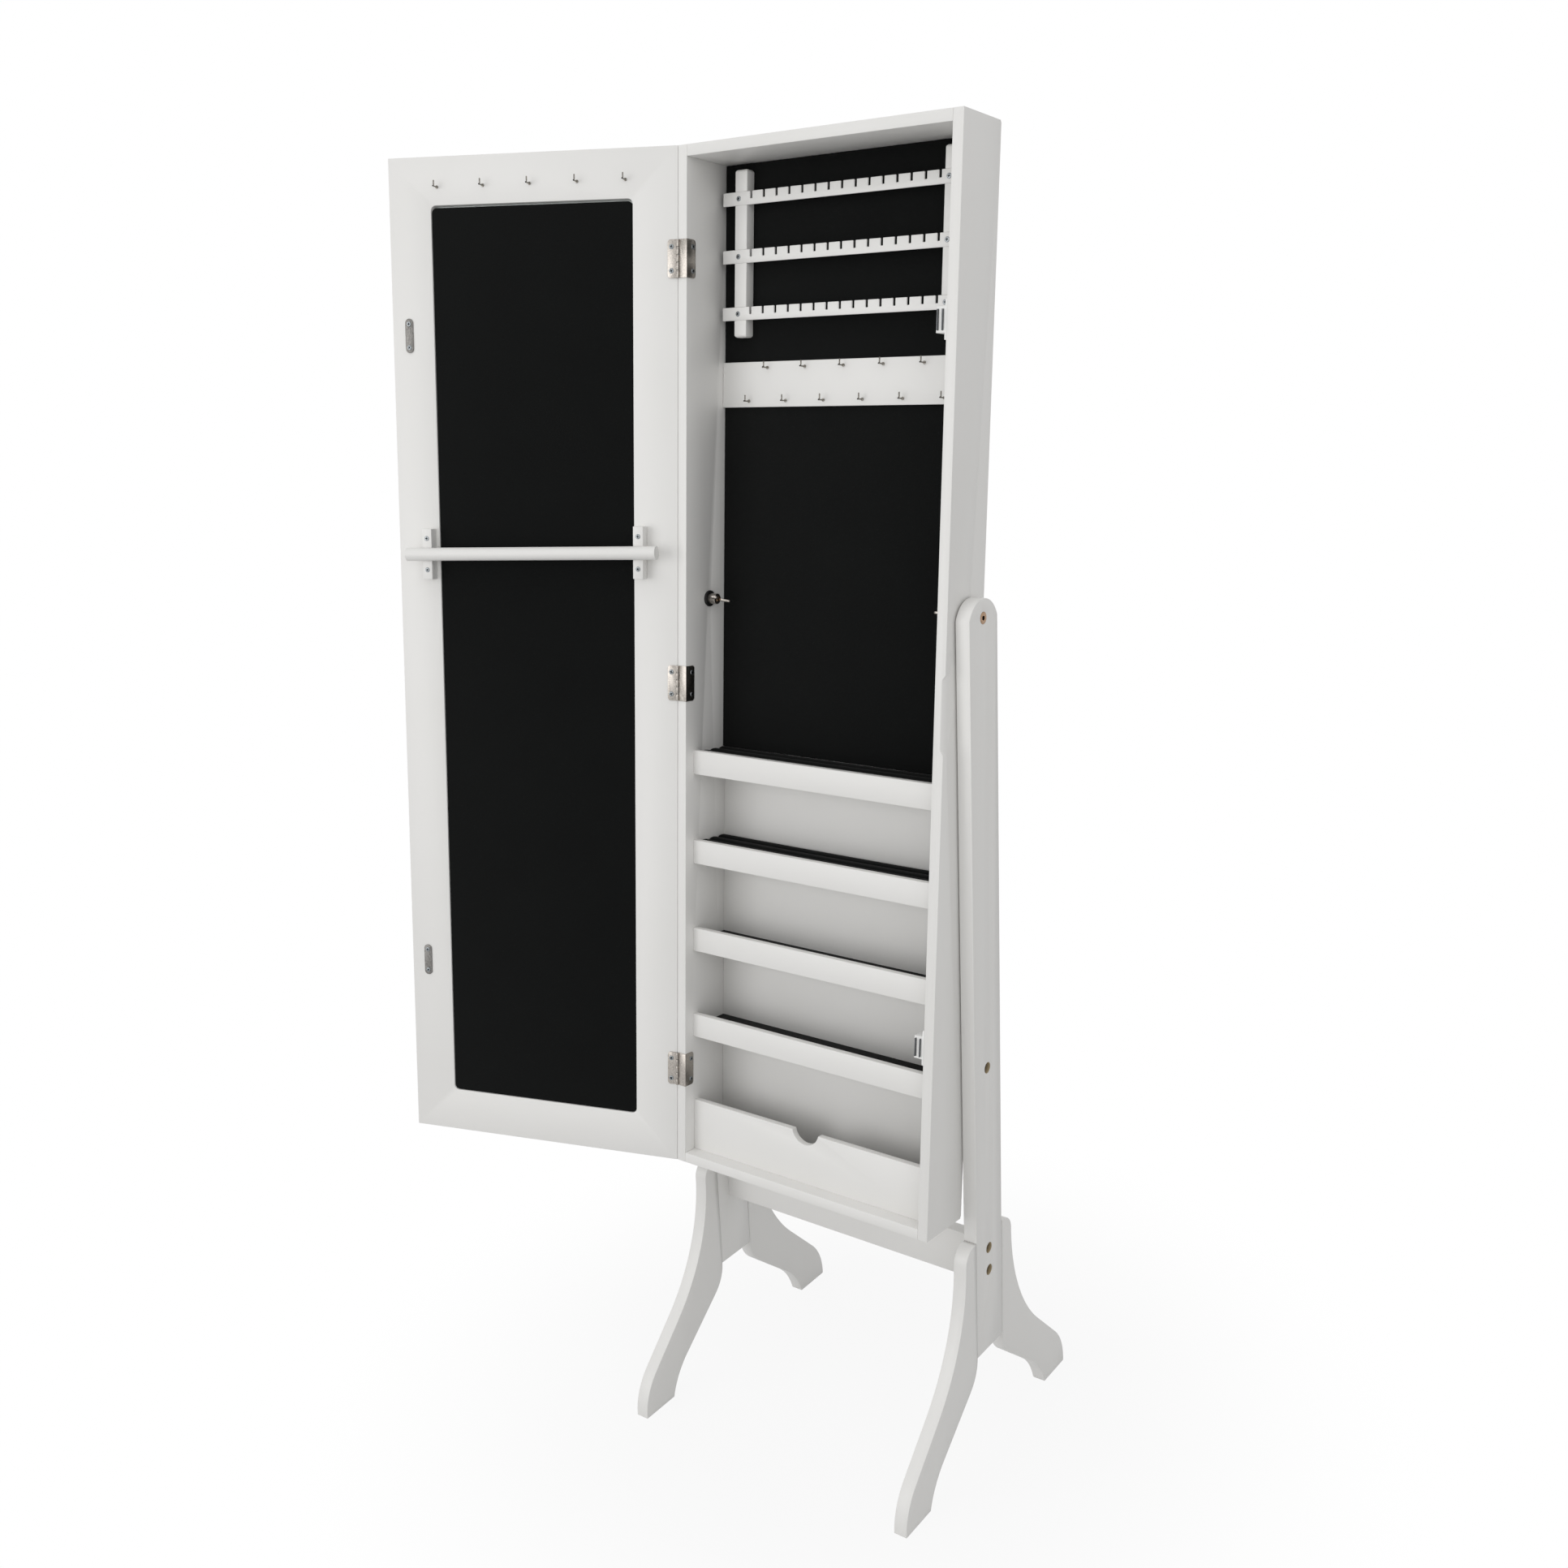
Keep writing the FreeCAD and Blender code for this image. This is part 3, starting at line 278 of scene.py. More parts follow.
def raw_fibreboard(colours):
    """Drilled medium-density fibreboard: matt brown with fine loose fibres, and painted shade that draws it darker
    deeper in the hole.
    """
    material, tree, shader, place = new_finish("raw_fibreboard")
    if tree:
        fibre = add_node(tree, "TexNoise", {"Vector": place, "Scale": per_metre(0.8), "Detail": 4})
        loose = add_node(tree, "MapRange", {"Value": fibre.outputs["Fac"], "To Min": 0.7, "To Max": 1.3})
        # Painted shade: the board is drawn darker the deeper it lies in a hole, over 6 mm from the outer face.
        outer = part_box("upright_right")[1][0]
        across = add_node(tree, "SeparateXYZ", {"Vector": place})
        side = add_node(tree, "Math", {0: across.outputs["X"]}, operation="ABSOLUTE")
        painted_depth_shade = add_node(tree, "MapRange", {
            "Value": side.outputs["Value"], "From Min": outer - 6 * MM, "From Max": outer,
        })
        # The board's own loose fibres, times the painted shade that darkens it deeper in the hole.
        clean = add_node(tree, "Math", {
            0: loose.outputs["Result"], 1: painted_depth_shade.outputs["Result"],
        }, operation="MULTIPLY")
        tint = add_node(tree, "Mix", {
            "Factor": clean.outputs["Value"], "A": darker(colours.fibreboard, 0.3),
            "B": tuple(colours.fibreboard),
        }, data_type="RGBA")
        bump = add_node(tree, "Bump", {
            "Height": fibre.outputs["Fac"], "Strength": 0.5, "Distance": 0.3 * MM,
        })
        set_inputs(tree, shader, {
            "Base Color": tint.outputs["Result"], "Roughness": 0.9, "Normal": bump.outputs["Normal"],
        })
    return material


def black_felt(colours):
    """Flocked polyester felt: near black, soft sheen at a glance, nap brushed in faint patches."""
    material, tree, shader, place = new_finish("flocked_felt")
    if tree:
        # The pile is about 0.3 mm, drawn at 1.2 mm so that it shows. The nap lies in patches of 60 mm.
        pile = add_node(tree, "TexNoise", {
            "Vector": place, "Scale": per_metre(1.2), "Detail": 5, "Roughness": 0.7,
        })
        nap = add_node(tree, "TexNoise", {"Vector": place, "Scale": per_metre(60), "Detail": 3})
        both = add_node(tree, "Math", {
            0: pile.outputs["Fac"], 1: nap.outputs["Fac"],
        }, operation="MULTIPLY")
        tint = add_node(tree, "Mix", {
            "Factor": both.outputs["Value"], "A": tuple(colours.felt_shade), "B": tuple(colours.felt),
        }, data_type="RGBA")
        bump = add_node(tree, "Bump", {
            "Height": pile.outputs["Fac"], "Strength": 0.5, "Distance": 0.4 * MM,
        })
        set_inputs(tree, shader, {
            "Base Color": tint.outputs["Result"], "Roughness": 0.95, "Normal": bump.outputs["Normal"],
            "Specular IOR Level": 0.15, "Sheen Weight": 0.04, "Sheen Roughness": 0.5,
        })
    return material


def plated_metal(name, plating, roughness, spangle, shade=0.6):
    """Plated steel: the plating's colour in lighter and darker clouds, and gloss that wavers with them.

    Its roughness is given as the least and the most, its spangle as the clouds' width in
    millimetres, and its shade as the share of the colour that the dark clouds keep.
    """
    material, tree, shader, place = new_finish(name)
    if tree:
        sheet = add_node(tree, "TexNoise", {"Vector": place, "Scale": per_metre(spangle), "Detail": 4})
        gloss = add_node(tree, "MapRange", {
            "Value": sheet.outputs["Fac"], "To Min": roughness[0], "To Max": roughness[1],
        })
        clouds = add_node(tree, "MapRange", {
            "Value": sheet.outputs["Fac"], "From Min": 0.35, "From Max": 0.65,
        })
        tint = add_node(tree, "Mix", {
            "Factor": clouds.outputs["Result"], "A": darker(plating, shade), "B": tuple(plating),
        }, data_type="RGBA")
        bump = add_node(tree, "Bump", {
            "Height": sheet.outputs["Fac"], "Strength": 0.12, "Distance": 0.1 * MM,
        })
        set_inputs(tree, shader, {
            "Base Color": tint.outputs["Result"], "Roughness": gloss.outputs["Result"],
            "Normal": bump.outputs["Normal"], "Metallic": 1.0,
        })
    return material


def nickel(colours):
    """Bright nickel: warm, glossy, as on cheap rolled hinges."""
    return plated_metal("nickel_plated_steel", colours.nickel, (0.22, 0.4), spangle=1.2, shade=0.65)


def zinc(colours):
    """Clear-passivated zinc: cool grey, half matt, with a frosty spangle."""
    return plated_metal("zinc_plated_steel", colours.zinc, (0.35, 0.6), spangle=1.5, shade=0.5)


def screw_zinc(colours):
    """Blue-passivated zinc of small screws, dulled by the driver."""
    return plated_metal("blue_zinc_screws", colours.screw, (0.25, 0.45), spangle=1.0)


def shaded_hook_nickel(colours):
    """Nickel of the wire hooks: the same nickel drawn darker, as painted shade for their tight curves."""
    return plated_metal("nickel_plated_wire", colours.hook, (0.2, 0.35), spangle=1.0)


def yellow_zinc(colours):
    """Yellow-passivated zinc: coppery, half matt."""
    return plated_metal("yellow_zinc_plated_steel", colours.brassy_zinc, (0.3, 0.45), spangle=1.5)


def painted_socket_shade(colours):
    """Painted shade: a dark steel drawn inside the sockets of bolts and the crosses of screws, where shade falls.
    """
    return plated_metal("socket_shade_steel", colours.socket, (0.5, 0.7), spangle=1.0)


def catch_steel(colours):
    """Bare mild steel of the catches' pole plates: dull grey."""
    return plated_metal("mild_steel", colours.steel, (0.4, 0.55), spangle=1.0)


def moulded(name, base, roughness, spark=0.8):
    """Moulded plastic: even colour, with a spark-finished mould's pits of a width in millimetres."""
    material, tree, shader, place = new_finish(name)
    if tree:
        pits = add_node(tree, "TexNoise", {"Vector": place, "Scale": per_metre(spark), "Detail": 2})
        gloss = add_node(tree, "MapRange", {
            "Value": pits.outputs["Fac"], "To Min": roughness - 0.06, "To Max": roughness + 0.06,
        })
        bump = add_node(tree, "Bump", {
            "Height": pits.outputs["Fac"], "Strength": 0.1, "Distance": 0.1 * MM,
        })
        set_inputs(tree, shader, {
            "Base Color": tuple(base), "Roughness": gloss.outputs["Result"],
            "Normal": bump.outputs["Normal"], "IOR": 1.49,
        })
    return material


def catch_plastic(colours):
    """White ABS, moulded."""
    return moulded("white_abs", colours.plastic, roughness=0.4)


def black_nylon(colours):
    """Black polyamide, moulded."""
    return moulded("black_polyamide", colours.nylon, roughness=0.5)


def mirror_silver(colours):
    """Silvered float glass: a clean reflection that wavers by the float's slow ripple."""
    material, tree, shader, place = new_finish("silvered_float_glass")
    if tree:
        ripple = add_node(tree, "TexNoise", {"Vector": place, "Scale": per_metre(90), "Detail": 1})
        bump = add_node(tree, "Bump", {
            "Height": ripple.outputs["Fac"], "Strength": 0.01, "Distance": 0.05 * MM,
        })
        set_inputs(tree, shader, {
            "Base Color": tuple(colours.silver), "Metallic": 1.0, "Roughness": 0.02,
            "Normal": bump.outputs["Normal"],
        })
    return material


# Modelling helpers

def select_only(*objects):
    bpy.ops.object.select_all(action="DESELECT")
    for obj in objects:
        obj.select_set(True)
    bpy.context.view_layer.objects.active = objects[0]


def primitive(add, **settings):
    """Adds a primitive by itself, with its place, turn and scale in its mesh."""
    bpy.ops.object.select_all(action="DESELECT")
    add(**settings)
    bpy.ops.object.transform_apply()
    return bpy.context.object


def select_edges(obj, test):
    """In object mode, selects the edges whose two ends pass a test, for edit mode's edge selection."""
    bpy.context.tool_settings.mesh_select_mode = (False, True, False)
    for group in (obj.data.vertices, obj.data.edges, obj.data.polygons):
        group.foreach_set("select", [False] * len(group))
    points = obj.data.vertices
    for edge in obj.data.edges:
        edge.select = test(points[edge.vertices[0]].co, points[edge.vertices[1]].co)


def bevel_selected(width, segments):
    """Bevels the selected edges of the active object."""
    bpy.ops.object.mode_set(mode="EDIT")
    bpy.ops.mesh.select_mode(type="EDGE")
    bpy.ops.mesh.bevel(offset=width, segments=segments, affect="EDGES")
    bpy.ops.object.mode_set(mode="OBJECT")


def add_bevel(obj, width, segments=2):
    """Rounds the sharp edges and smooths the shading between them."""
    select_only(obj)
    bevel = obj.modifiers.new("ease", "BEVEL")
    bevel.width = width
    bevel.segments = segments
    bevel.limit_method = "ANGLE"
    bevel.angle_limit = SHARP
    bevel.use_clamp_overlap = False
    bpy.ops.object.modifier_apply(modifier=bevel.name)
    bpy.ops.object.shade_smooth_by_angle(angle=SMOOTH)


def own_copy(obj, name):
    """A copy of a piece with its own mesh."""
    piece = obj.copy()
    piece.data = obj.data.copy()
    piece.name = piece.data.name = name
    bpy.context.scene.collection.objects.link(piece)
    return piece


def place_copy(obj, name, matrix):
    """A copy of a modelled piece, put in place in the mesh itself."""
    piece = own_copy(obj, name)
    piece.data.transform(matrix)
    return piece


def merged_copy(node, name):
    """A copy of a node with its loose triangles merged and its flat faces made whole."""
    piece = own_copy(frame["nodes"][node], name)
    select_only(piece)
    bpy.ops.object.mode_set(mode="EDIT")
    bpy.ops.mesh.select_mode(type="VERT")
    bpy.ops.mesh.select_all(action="SELECT")
    bpy.ops.mesh.remove_doubles(threshold=MERGED)
    bpy.ops.mesh.dissolve_limited(angle_limit=FLAT)
    bpy.ops.mesh.customdata_custom_splitnormals_clear()
    bpy.ops.object.mode_set(mode="OBJECT")
    return piece


def set_material(piece, *materials):
    piece.data.materials.clear()
    for material in materials:
        piece.data.materials.append(material)


def body_of_node(node):
    bodies = frame["record"]["behaviour"]["bodies"]
    return next(body for body, nodes in bodies.items() if node in nodes)


def stand_for(piece, node):
    """Makes a piece ride and finish as the node that it replaces."""
    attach(piece, body_of_node(node))
    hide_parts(node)


def eased_node(node, ease, material, segments=2):
    """Replaces a node by a copy of it with rounded edges."""
    piece = merged_copy(node, f"{node}_eased")
    add_bevel(piece, ease, segments)
    set_material(piece, material)
    stand_for(piece, node)
    return piece


def join(pieces, name):
    select_only(*pieces)
    bpy.ops.object.join()
    whole = bpy.context.view_layer.objects.active
    whole.name = whole.data.name = name
    return whole


def discard(obj):
    bpy.data.objects.remove(obj, do_unlink=True)


def bolt_head():
    """The radius of the bolts' heads."""
    low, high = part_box("pivot_bolts")
    return (high[2] - low[2]) / 2


def mark_bores(piece, heights, radius, inside):
    """Gives the second material to the faces in bores along X whose distance from x = 0 passes a test."""
    points = piece.data.vertices
    for face in piece.data.polygons:
        corners = [points[i].co for i in face.vertices]
        reach = min(max(math.hypot(p.y, p.z - height) for p in corners) for height in heights)
        if reach < radius and inside(abs(face.center.x)):
            face.material_index = 1


# Boards and linings

class MIRRORCABINET_OT_boards(bpy.types.Operator):
    """Paints the boards, eases their edges and bares the fibreboard inside the uprights' holes"""
    bl_idname = "mirror_cabinet.boards"
    bl_label = "Paint the Boards"

    def execute(self, context):
        sizes, colours = chosen(context)
        paint = satin_paint(colours)
        for node in BOARDS:
            eased_node(node, sizes.board_ease, paint)
        for node in LEGS:
            self.open_joint(eased_node(node, sizes.board_ease, paint), sizes)
        for node in UPRIGHTS:
            self.bare_holes(eased_node(node, sizes.board_ease, paint), sizes, raw_fibreboard(colours))
        self.square_ends(bpy.data.objects["bracelet_rod_eased"], sizes)
        return {"FINISHED"}

    @staticmethod
    def open_joint(leg, sizes):
        """Draws a leg's glued edge back from its upright, so that the joint shows as a fine line."""
        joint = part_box(UPRIGHTS[0])[1][1]
        for v in leg.data.vertices:
            if abs(v.co.y) < joint + sizes.board_ease / 2:
                v.co.y += math.copysign(sizes.joint_line, v.co.y)

    @staticmethod
    def bare_holes(upright, sizes, fibreboard):
        """Bares the board in an upright's spare hole and stretcher holes, but not on their eased rims."""
        upright.data.materials.append(fibreboard)
        low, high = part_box("stretcher_bolts")
        head = bolt_head()
        heights = (sizes.spare_hole, low[2] + head, high[2] - head)
        rim = max(abs(v.co.x) for v in upright.data.vertices) - sizes.board_ease
        mark_bores(upright, heights, head + 2 * SAME_PLACE, lambda distance: distance < rim)

    @staticmethod
    def square_ends(rod, sizes):
        """Saws the rod's ends square like a dowel's, with only their edges broken."""
        points = rod.data.vertices
        middle = sum((v.co for v in points), Vector()) / len(points)
        near, far = [], []
        for v in points:
            (near if v.co.x < middle.x else far).append(v.co)
        axis = (sum(far, Vector()) / len(far) - sum(near, Vector()) / len(near)).normalized()
        end = max(abs((v.co - middle).dot(axis)) for v in points)
        radius = max((v.co - middle).cross(axis).length for v in points)
        for v in points:
            along = (v.co - middle).dot(axis) * axis
            out = v.co - middle - along
            broken = sizes.board_ease if along.length > end - SAME_PLACE else 0
            sawn = along - sizes.rod_trim * along.normalized()
            v.co = middle + sawn + out.normalized() * (radius - broken)
        select_only(rod)
        bpy.ops.object.shade_smooth_by_angle(angle=SHARP)


class MIRRORCABINET_OT_linings(bpy.types.Operator):
    """Covers the back board, the door's panel and the lower shelves with felt, and lays felt on the bin's floor as
    painted shade that draws the bin darker
    """
    bl_idname = "mirror_cabinet.linings"
    bl_label = "Lay the Felt"

    def execute(self, context):
        sizes, colours = chosen(context)
        felt = black_felt(colours)
        linings = {node: eased_node(node, sizes.felt_ease, felt, segments=3) for node in LININGS}
        self.tuck(linings["felt_back"], sizes)
        self.swell(linings["shelf_felts"], sizes)
        self.shade_bin_floor(sizes, felt)
        return {"FINISHED"}

    @staticmethod
    def tuck(lining, sizes):
        """Runs the back lining's lower edge down behind the ring rolls."""
        low = box_in("felt_back", CABINET)[0].z
        down = CABINET.to_3x3() @ Vector((0, 0, -sizes.felt_tuck))
        for v in lining.data.vertices:
            if (CABINET.inverted() @ v.co).z < low + 2 * sizes.felt_ease:
                v.co += down

    @staticmethod
    def swell(felts, sizes):
        """Raises the tops of the two shelf felts by their loft."""
        up = CABINET.to_3x3() @ Vector((0, 0, sizes.felt_loft))
        low, high = box_in("shelf_felts", CABINET)
        between = (low.z + high.z) / 2
        heights = [(CABINET.inverted() @ v.co).z for v in felts.data.vertices]
        for upper in (False, True):
            felt = [i for i, z in enumerate(heights) if (z > between) == upper]
            middle = (min(heights[i] for i in felt) + max(heights[i] for i in felt)) / 2
            for i in felt:
                if heights[i] > middle:
                    felts.data.vertices[i].co += up

    @staticmethod
    def shade_bin_floor(sizes, felt):
        """Lays a felt pad on the bin's floor, a little clear of the boards round it, as painted shade that draws
        the bin's inside darker.
        """
        front, back, floor = (box_in(node, CABINET) for node in ("bin_front", "back_panel", "bottom_panel"))
        margin = sizes.felt_ease / 2
        low = Vector((front[0].x + margin, front[1].y + margin, floor[1].z))
        high = Vector((front[1].x - margin, back[0].y - margin, floor[1].z + sizes.bin_felt))
        pad = primitive(bpy.ops.mesh.primitive_cube_add, size=1)
        pad.name = pad.data.name = "bin_shade_felt"
        extent = Matrix.Diagonal((*(high - low), 1))
        pad.data.transform(CABINET @ Matrix.Translation((low + high) / 2) @ extent)
        add_bevel(pad, margin)
        set_material(pad, felt)
        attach(pad, "cabinet")


class MIRRORCABINET_OT_ring_rolls(bpy.types.Operator):
    """Stuffs the ring rolls: three felt cushions side by side on each shelf"""
    bl_idname = "mirror_cabinet.ring_rolls"
    bl_label = "Stuff the Ring Rolls"

    def execute(self, context):
        sizes, colours = chosen(context)
        low, high = box_in(ROLLS[0], CABINET)
        pitch = (high.y - low.y) / sizes.roll_count
        roll = loaf(Vector((high.x - low.x, pitch, high.z - low.z)), sizes.roll_swell)
        space = ((low.x, high.x), (0, pitch), (0, high.z - low.z))
        stuff(context.scene, roll, space, sizes)
        for node in ROLLS:
            low = box_in(node, CABINET)[0]
            rolls = []
            for i in range(sizes.roll_count):
                seat = CABINET @ Matrix.Translation((0, low.y + i * pitch, low.z))
                rolls.append(place_copy(roll, f"{node}_{i}", seat))
            pad = join(rolls, f"{node}_padded")
            set_material(pad, black_felt(colours))
            stand_for(pad, node)
        discard(roll)
        return {"FINISHED"}


def loaf(extent, margin):
    """A bar along X, round on top and square below, smaller by a margin than the space that it will fill.

    That space starts at y = 0 and z = 0, and has its middle at x = 0. The bar is longer than it,
    so that its ends press flat against the walls.
    """
    bar = primitive(bpy.ops.mesh.primitive_cylinder_add, vertices=32, radius=0.5, depth=1,
                    rotation=(0, math.pi / 2, 0))
    width, height = extent.y - 2 * margin, extent.z - 2 * margin
    bar.data.transform(Matrix.Diagonal((extent.x + 4 * margin, width, width, 1)))
    # Its lower half is let down to the shelf and squared.
    for v in bar.data.vertices:
        if v.co.z < -width / 4:
            v.co.y *= width / 2 / max(abs(v.co.y), width / 4)
            v.co.z = width / 2 - height
    bar.data.transform(Matrix.Translation((0, extent.y / 2, extent.z - margin - width / 2)))
    return bar


def stuff(scene, pad, space, sizes):
    """Swells a pad by cloth pressure, keeps it in the space that it fills and rounds its mesh."""
    pressure, steps = 4, 20
    select_only(pad)
    weave = pad.modifiers.new("weave", "REMESH")
    weave.mode = "VOXEL"
    weave.voxel_size = sizes.roll_weave
    bpy.ops.object.modifier_apply(modifier=weave.name)
    before = [v.co.copy() for v in pad.data.vertices]
    filling = pad.modifiers.new("filling", "CLOTH")
    filling.settings.use_pressure = True
    filling.settings.uniform_pressure_force = pressure
    filling.settings.effector_weights.gravity = 0
    for step in range(1, steps + 1):
        scene.frame_set(step)
    bpy.ops.object.modifier_apply(modifier=filling.name)
    for v, start in zip(pad.data.vertices, before):
        move = v.co - start
        if move.length > sizes.roll_give:
            move *= sizes.roll_give / move.length
        v.co = [min(max(value, least), most) for value, (least, most) in zip(start + move, space)]
    scene.frame_set(1)
    fine = pad.modifiers.new("fine", "SUBSURF")
    fine.levels = fine.render_levels = 1
    bpy.ops.object.modifier_apply(modifier=fine.name)
    bpy.ops.object.shade_smooth()


# Fittings

def round_wire_hook(sizes, reach, rise):
    """One hook along -Y and up, its collar on the plane y = 0 and its wire's axis on z = 0."""
    radius, bend = sizes.hook_wire / 2, sizes.hook_bend
    straight = reach - radius - bend
    tip, taper = 0.6 * radius, 0.55
    wire = primitive(bpy.ops.mesh.primitive_circle_add, vertices=12, radius=radius, fill_type="NGON",
                     rotation=(math.pi / 2, 0, 0))
    bpy.ops.object.mode_set(mode="EDIT")
    bpy.ops.mesh.select_all(action="SELECT")
    bpy.ops.mesh.extrude_region_move(TRANSFORM_OT_translate={"value": (0, -straight, 0)})
    bpy.ops.mesh.spin(steps=6, angle=-math.pi / 2, center=(0, -straight, bend), axis=(1, 0, 0))
    bpy.ops.mesh.extrude_region_move(TRANSFORM_OT_translate={"value": (0, 0, rise - bend - tip)})
    bpy.ops.mesh.extrude_region_move(TRANSFORM_OT_translate={"value": (0, 0, tip)})
    bpy.ops.transform.resize(value=(taper, taper, 1))
    bpy.ops.mesh.select_all(action="SELECT")
    bpy.ops.mesh.remove_doubles(threshold=MERGED)
    bpy.ops.mesh.normals_make_consistent(inside=False)
    bpy.ops.object.mode_set(mode="OBJECT")
    bpy.ops.object.shade_smooth_by_angle(angle=SMOOTH)
    collar = primitive(bpy.ops.mesh.primitive_cylinder_add, vertices=20, radius=sizes.hook_collar / 2,
                       depth=sizes.collar_depth, location=(0, -sizes.collar_depth / 2, 0),
                       rotation=(math.pi / 2, 0, 0))
    add_bevel(collar, sizes.collar_ease)
    return join([wire, collar], "hook_pattern")


class MIRRORCABINET_OT_hooks(bpy.types.Operator):
    """Bends the round-wire hooks of the hook rail and the door"""
    bl_idname = "mirror_cabinet.hooks"
    bl_label = "Bend the Hooks"

    def execute(self, context):
        sizes, colours = chosen(context)
        rail_face, door_face = box_in("hook_rail", CABINET)[0].y, box_in("door_frame", DOOR)[1].y
        on_rail, on_door = self.places("rail_hooks", CABINET), self.places("door_hooks", DOOR)
        reach = rail_face - min(point.y for point, _ in on_rail)
        rise = max(tip - point.z for point, tip in on_rail)
        pattern = round_wire_hook(sizes, reach, rise)
        for node, places, body, face, turn in (("rail_hooks", on_rail, CABINET, rail_face, 0),
                                               ("door_hooks", on_door, DOOR, door_face, math.pi)):
            hooks = []
            for i, (point, _) in enumerate(places):
                seat = body @ Matrix.Translation((point.x, face, point.z)) @ Matrix.Rotation(turn, 4, "Z")
                hooks.append(place_copy(pattern, f"{node}_{i}", seat))
            whole = join(hooks, f"{node}_wire")
            set_material(whole, shaded_hook_nickel(colours))
            stand_for(whole, node)
        discard(pattern)
        return {"FINISHED"}

    @staticmethod
    def places(node, matrix):
        """For each hook of a node, its shank's furthest point and its tip's height, told apart by place."""
        # A hook's points lie this close to its first one, and its collar reaches further out than its wire.
        aside, above, past_wire = 10 * MM, 20 * MM, 1.5 * MM
        inverse = matrix.inverted()
        points = [inverse @ v.co for v in frame["nodes"][node].data.vertices]
        hooks = []
        for point in sorted(points, key=lambda p: (round(p.z, 2), p.x)):
            near = [h for h in hooks if abs(h[0].x - point.x) < aside and abs(h[0].z - point.z) < above]
            if near:
                near[0].append(point)
            else:
                hooks.append([point])
        places = []
        for hook in hooks:
            middle = (min(p.x for p in hook) + max(p.x for p in hook)) / 2
            collar = [p.z for p in hook if abs(p.x - middle) > past_wire]
            shank = Vector((middle, min(p.y for p in hook), sum(collar) / len(collar)))
            places.append((shank, max(p.z for p in hook)))
        return places


def cross_head_screw(sizes, finish, cross_shade_finish):
    """A domed screw head on the plane z = 0, with a cross sunk in it, whose faces take painted shade."""
    dome = sizes.screw_dome
    rounding, depth, cross = 0.8 * dome, 0.8 * dome, 0.55 * sizes.screw_head
    above_base, below_top = 0.1 * dome, 0.9 * dome
    head = primitive(bpy.ops.mesh.primitive_cylinder_add, vertices=28, radius=sizes.screw_head / 2,
                     depth=dome, location=(0, 0, dome / 2))
    select_edges(head, lambda a, b: min(a.z, b.z) > below_top)
    bevel_selected(rounding, 3)
    for turn in (math.radians(20), math.radians(110)):
        bar = primitive(bpy.ops.mesh.primitive_cube_add, size=1, location=(0, 0, dome),
                        rotation=(0, 0, turn), scale=(cross, sizes.screw_slot, 2 * depth))
        select_only(head)
        cutter = head.modifiers.new("cross", "BOOLEAN")
        cutter.operation = "DIFFERENCE"
        cutter.object = bar
        bpy.ops.object.modifier_apply(modifier=cutter.name)
        discard(bar)
    select_only(head)
    bpy.ops.object.shade_smooth_by_angle(angle=SHARP)
    set_material(head, finish, cross_shade_finish)
    # The faces inside the cross take the second finish: painted shade of the recess.
    corner = math.hypot(cross, sizes.screw_slot) / 2 + SAME_PLACE
    points = head.data.vertices
    for face in head.data.polygons:
        lowest = min(points[i].co.z for i in face.vertices)
        inside = max(points[i].co.xy.length for i in face.vertices) < corner
        if inside and above_base < lowest < below_top:
            face.material_index = 1
    return head


def facing(matrix, point, normal):
    """The matrix that stands a piece's z axis on a point of a body's frame, along a normal."""
    turn = Vector((0, 0, 1)).rotation_difference(Vector(normal)).to_matrix().to_4x4()
    return matrix @ Matrix.Translation(point) @ turn


def pair(middle, spacing):
    """The heights of two screws about a middle."""
    return middle - spacing / 2, middle + spacing / 2


